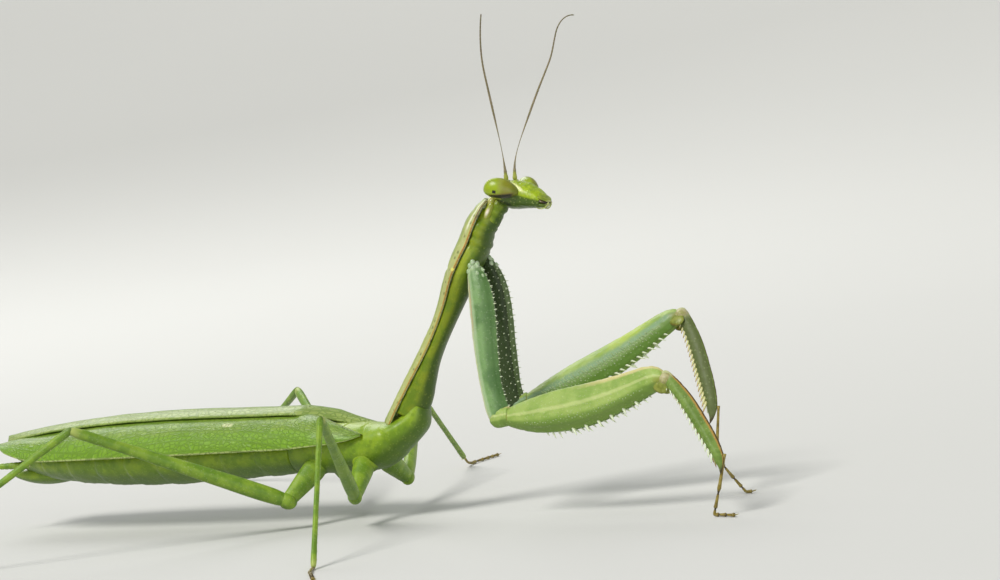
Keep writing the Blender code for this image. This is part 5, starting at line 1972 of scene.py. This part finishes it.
@dataclass
class Studio:
    """Pale floor swept up into a backdrop, soft lights and the camera."""

    view_turn: float = 34.0  # degrees round from the side
    view_rise: float = 4.0
    view_roll: float = 7.0
    distance: float = 380.0  # millimetres
    lens: float = 131.53
    target: Vector = Vector((17.295, 4.946, 22.43))
    floor_radius: float = 340.0
    sweep: float = 1600.0  # radius of the paper's upward curve
    key_way: tuple[float, float, float] = (-0.22, -0.72, 0.98)  # towards the main light
    key_power: float = 2.3
    key_width: float = 22.0  # degrees that the main light spans
    air: float = 0.36  # strength of the light from all round

    def back_way(self) -> Vector:
        """Unit vector from the target to the camera."""
        turn, rise = math.radians(self.view_turn), math.radians(self.view_rise)
        return Vector((math.sin(turn) * math.cos(rise), -math.cos(turn) * math.cos(rise),
                       math.sin(rise)))

    def camera(self) -> None:
        """Set the camera at its angle, rolled a little."""
        back = self.back_way()
        turn, roll = math.radians(self.view_turn), math.radians(self.view_roll)
        level = Vector((math.cos(turn), math.sin(turn), 0))
        above = back.cross(level)
        right = level * math.cos(roll) - above * math.sin(roll)
        up = level * math.sin(roll) + above * math.cos(roll)
        data = bpy.data.cameras.new("studio_camera")
        data.lens, data.sensor_width = self.lens, 36.0
        data.clip_start, data.clip_end = 0.01, 10.0
        camera = bpy.data.objects.new("studio_camera", data)
        spot = (self.target + back * self.distance) * MM
        turned = Matrix((right, up, back)).transposed().to_4x4()
        camera.matrix_world = Matrix.Translation(spot) @ turned
        bpy.context.scene.collection.objects.link(camera)
        bpy.context.scene.camera = camera

    def floor(self) -> None:
        """Model the paper: a round floor whose edge is drawn up all round in one sweep."""
        bpy.ops.object.select_all(action="DESELECT")
        reach = self.floor_radius * 0.94
        bpy.ops.mesh.primitive_circle_add(vertices=96, radius=reach * MM, fill_type="NOTHING")
        paper = bpy.context.object
        paper.name = paper.data.name = "studio_floor"
        bpy.ops.object.mode_set(mode="EDIT")
        bpy.ops.mesh.select_mode(type="EDGE")
        bpy.ops.mesh.select_all(action="SELECT")
        bpy.ops.mesh.edge_face_add()
        bpy.ops.object.mode_set(mode="OBJECT")
        select_only(paper)
        bpy.ops.object.mode_set(mode="EDIT")
        bpy.ops.mesh.select_all(action="DESELECT")
        bpy.ops.mesh.select_mode(type="EDGE")
        bpy.ops.mesh.select_non_manifold()
        rise = 0.0
        for lean in [0.0, *spread(2, 58, 29)]:
            turn = math.radians(lean)
            out = self.floor_radius + self.sweep * math.sin(turn)
            lift = self.sweep * (1 - math.cos(turn))
            bpy.ops.mesh.extrude_edges_move(
                TRANSFORM_OT_translate={"value": (0, 0, (lift - rise) * MM)}
            )
            ratio = out / reach
            bpy.ops.transform.resize(value=(ratio, ratio, 1), center_override=(0, 0, lift * MM))
            reach, rise = out, lift
        bpy.ops.object.mode_set(mode="OBJECT")
        bpy.ops.object.shade_smooth()
        paper.data.materials.append(StudioPaper().material())

    def hang(self, name: str, kind: str, power: float, tint: Sequence[float],
             **settings: Any) -> bpy.types.Object:
        """Make one soft light and hang it in the scene."""
        data = bpy.data.lights.new(name, kind)
        data.energy, data.color = power, tint
        for label, value in settings.items():
            setattr(data, label, value)
        lamp = bpy.data.objects.new(name, data)
        bpy.context.scene.collection.objects.link(lamp)
        return lamp

    def light(self, name: str, spot: Vector, size: float, power: float,
              tint: tuple[float, float, float] = (1, 1, 1)) -> None:
        """Hang a square light, its sizes in millimetres, that faces the animal."""
        lamp = self.hang(name, "AREA", power, tint, size=size * MM)
        lamp.location = spot * MM
        lamp.rotation_euler = (self.target - spot).to_track_quat("-Z", "Y").to_euler()

    def key_light(self) -> None:
        """Shine the main light from high on the camera's left, as soft as a wide window."""
        lamp = self.hang("key_light", "SUN", self.key_power, (1.0, 0.985, 0.95),
                         angle=math.radians(self.key_width))
        lamp.rotation_euler = Vector(self.key_way).to_track_quat("Z", "Y").to_euler()
        lamp.location = Vector(self.key_way)

    def build(self) -> None:
        """Set up the studio."""
        self.camera()
        self.floor()
        self.key_light()
        self.light("fill_light", Vector((420, -330, 160)), 300, 0.5, (0.95, 0.98, 1.0))
        self.light("rim_light", Vector((-330, 260, 330)), 260, 0.8)
        world = bpy.data.worlds.new("studio_air")
        world.use_nodes = True
        world.node_tree.nodes["Background"].inputs["Color"].default_value = (0.9, 0.93, 0.96, 1)
        world.node_tree.nodes["Background"].inputs["Strength"].default_value = self.air
        bpy.context.scene.world = world
        bpy.context.scene.view_settings.view_transform = "Standard"


FORE_LEGS = (
    ForeLeg(Side.RIGHT, (16.8, 1.1, 1.7), (-47.4, -68.6, -62.0, 16.4), (2.7, 8.3, -10.0, 19.6),
            (-13.9, 61.1, 12.4), ((-160.0, -74.0, 6.3), (-14.0, 0.0, 3.37))),
    ForeLeg(Side.LEFT, (17.2, 1.3, -1.7), (30.6, -83.7, 15.6, 15.5), (16.6, 22.7, -42.0, 19.7),
            (14.0, 94.8, 12.5), ((-150.0, -81.0, 5.2), (24.0, -57.0, 4.7), (30.0, 0.0, 1.3)),
            coxa_front=((0, 0.5), (0.1, 1.25), (0.25, 1.5), (0.6, 0.82), (0.85, 0.42), (1, 0.5)),
            coxa_rear=((0, 0.6), (0.25, 1.02), (0.7, 1.5), (0.95, 1.75), (1, 1.8))),
)
ANTENNAE = (
    Antenna(Side.RIGHT, 17.2, 0.1, ((0, 1), (0.1, -2), (0.3, -6), (0.6, -6), (0.8, 3), (1, 12))),
    Antenna(Side.LEFT, 18.6, -0.1,
            ((0, 3), (0.05, 6), (0.12, 17), (0.2, 24), (0.45, 27), (0.6, 29), (0.68, 27), (0.76, 18),
             (0.82, 18), (0.88, 30), (0.94, 58), (1, 103))),
)
WALKING_LEGS = (
    WalkingLeg("mid", Side.RIGHT, 4.3, (-75.0, -36.0, 4.6), (-62.0, 32.0, 19.0),
               (-66.0, -50.5, 17.0), (-50.0, 9.0), 0.8, 0.42),
    WalkingLeg("mid", Side.LEFT, 4.3, (96.0, -34.0, 4.6), (118.0, 22.0, 19.0),
               (108.0, -33.5, 17.0), (92.0, 9.0), 0.8, 0.42),
    WalkingLeg("hind", Side.RIGHT, 10.6, (-108.0, -35.0, 5.0), (-134.0, 26.0, 24.0),
               (-147.0, -30.5, 25.0), (-152.0, 11.5), 0.86, 0.44),
    WalkingLeg("hind", Side.LEFT, 10.6, (112.0, -35.0, 5.0), (139.0, 21.0, 24.0),
               (151.0, -25.0, 25.0), (157.0, 11.5), 0.86, 0.44),
)
WINGS = (
    Wing("hindwing_right", 9.0, 53.5, 0, 0), Wing("hindwing_left", 9.0, 54.0, 0, 0),
    Wing("tegmen_right", 3.7, 55.2, 1, 1), Wing("tegmen_left", 3.7, 55.6, 1, 2),
)


def main() -> None:
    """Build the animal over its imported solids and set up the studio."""
    logging.basicConfig(level=logging.INFO, format="%(name)s %(message)s")
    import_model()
    dresser = Dresser()
    for assembly in (Prothorax(), Neck(), Head(), *ANTENNAE, *FORE_LEGS, Trunk(), *WINGS,
                     *WALKING_LEGS):
        LOG.info("building %s", type(assembly).__name__)
        assembly.build(dresser)
    Studio().build()


if __name__ == "__main__":
    main()
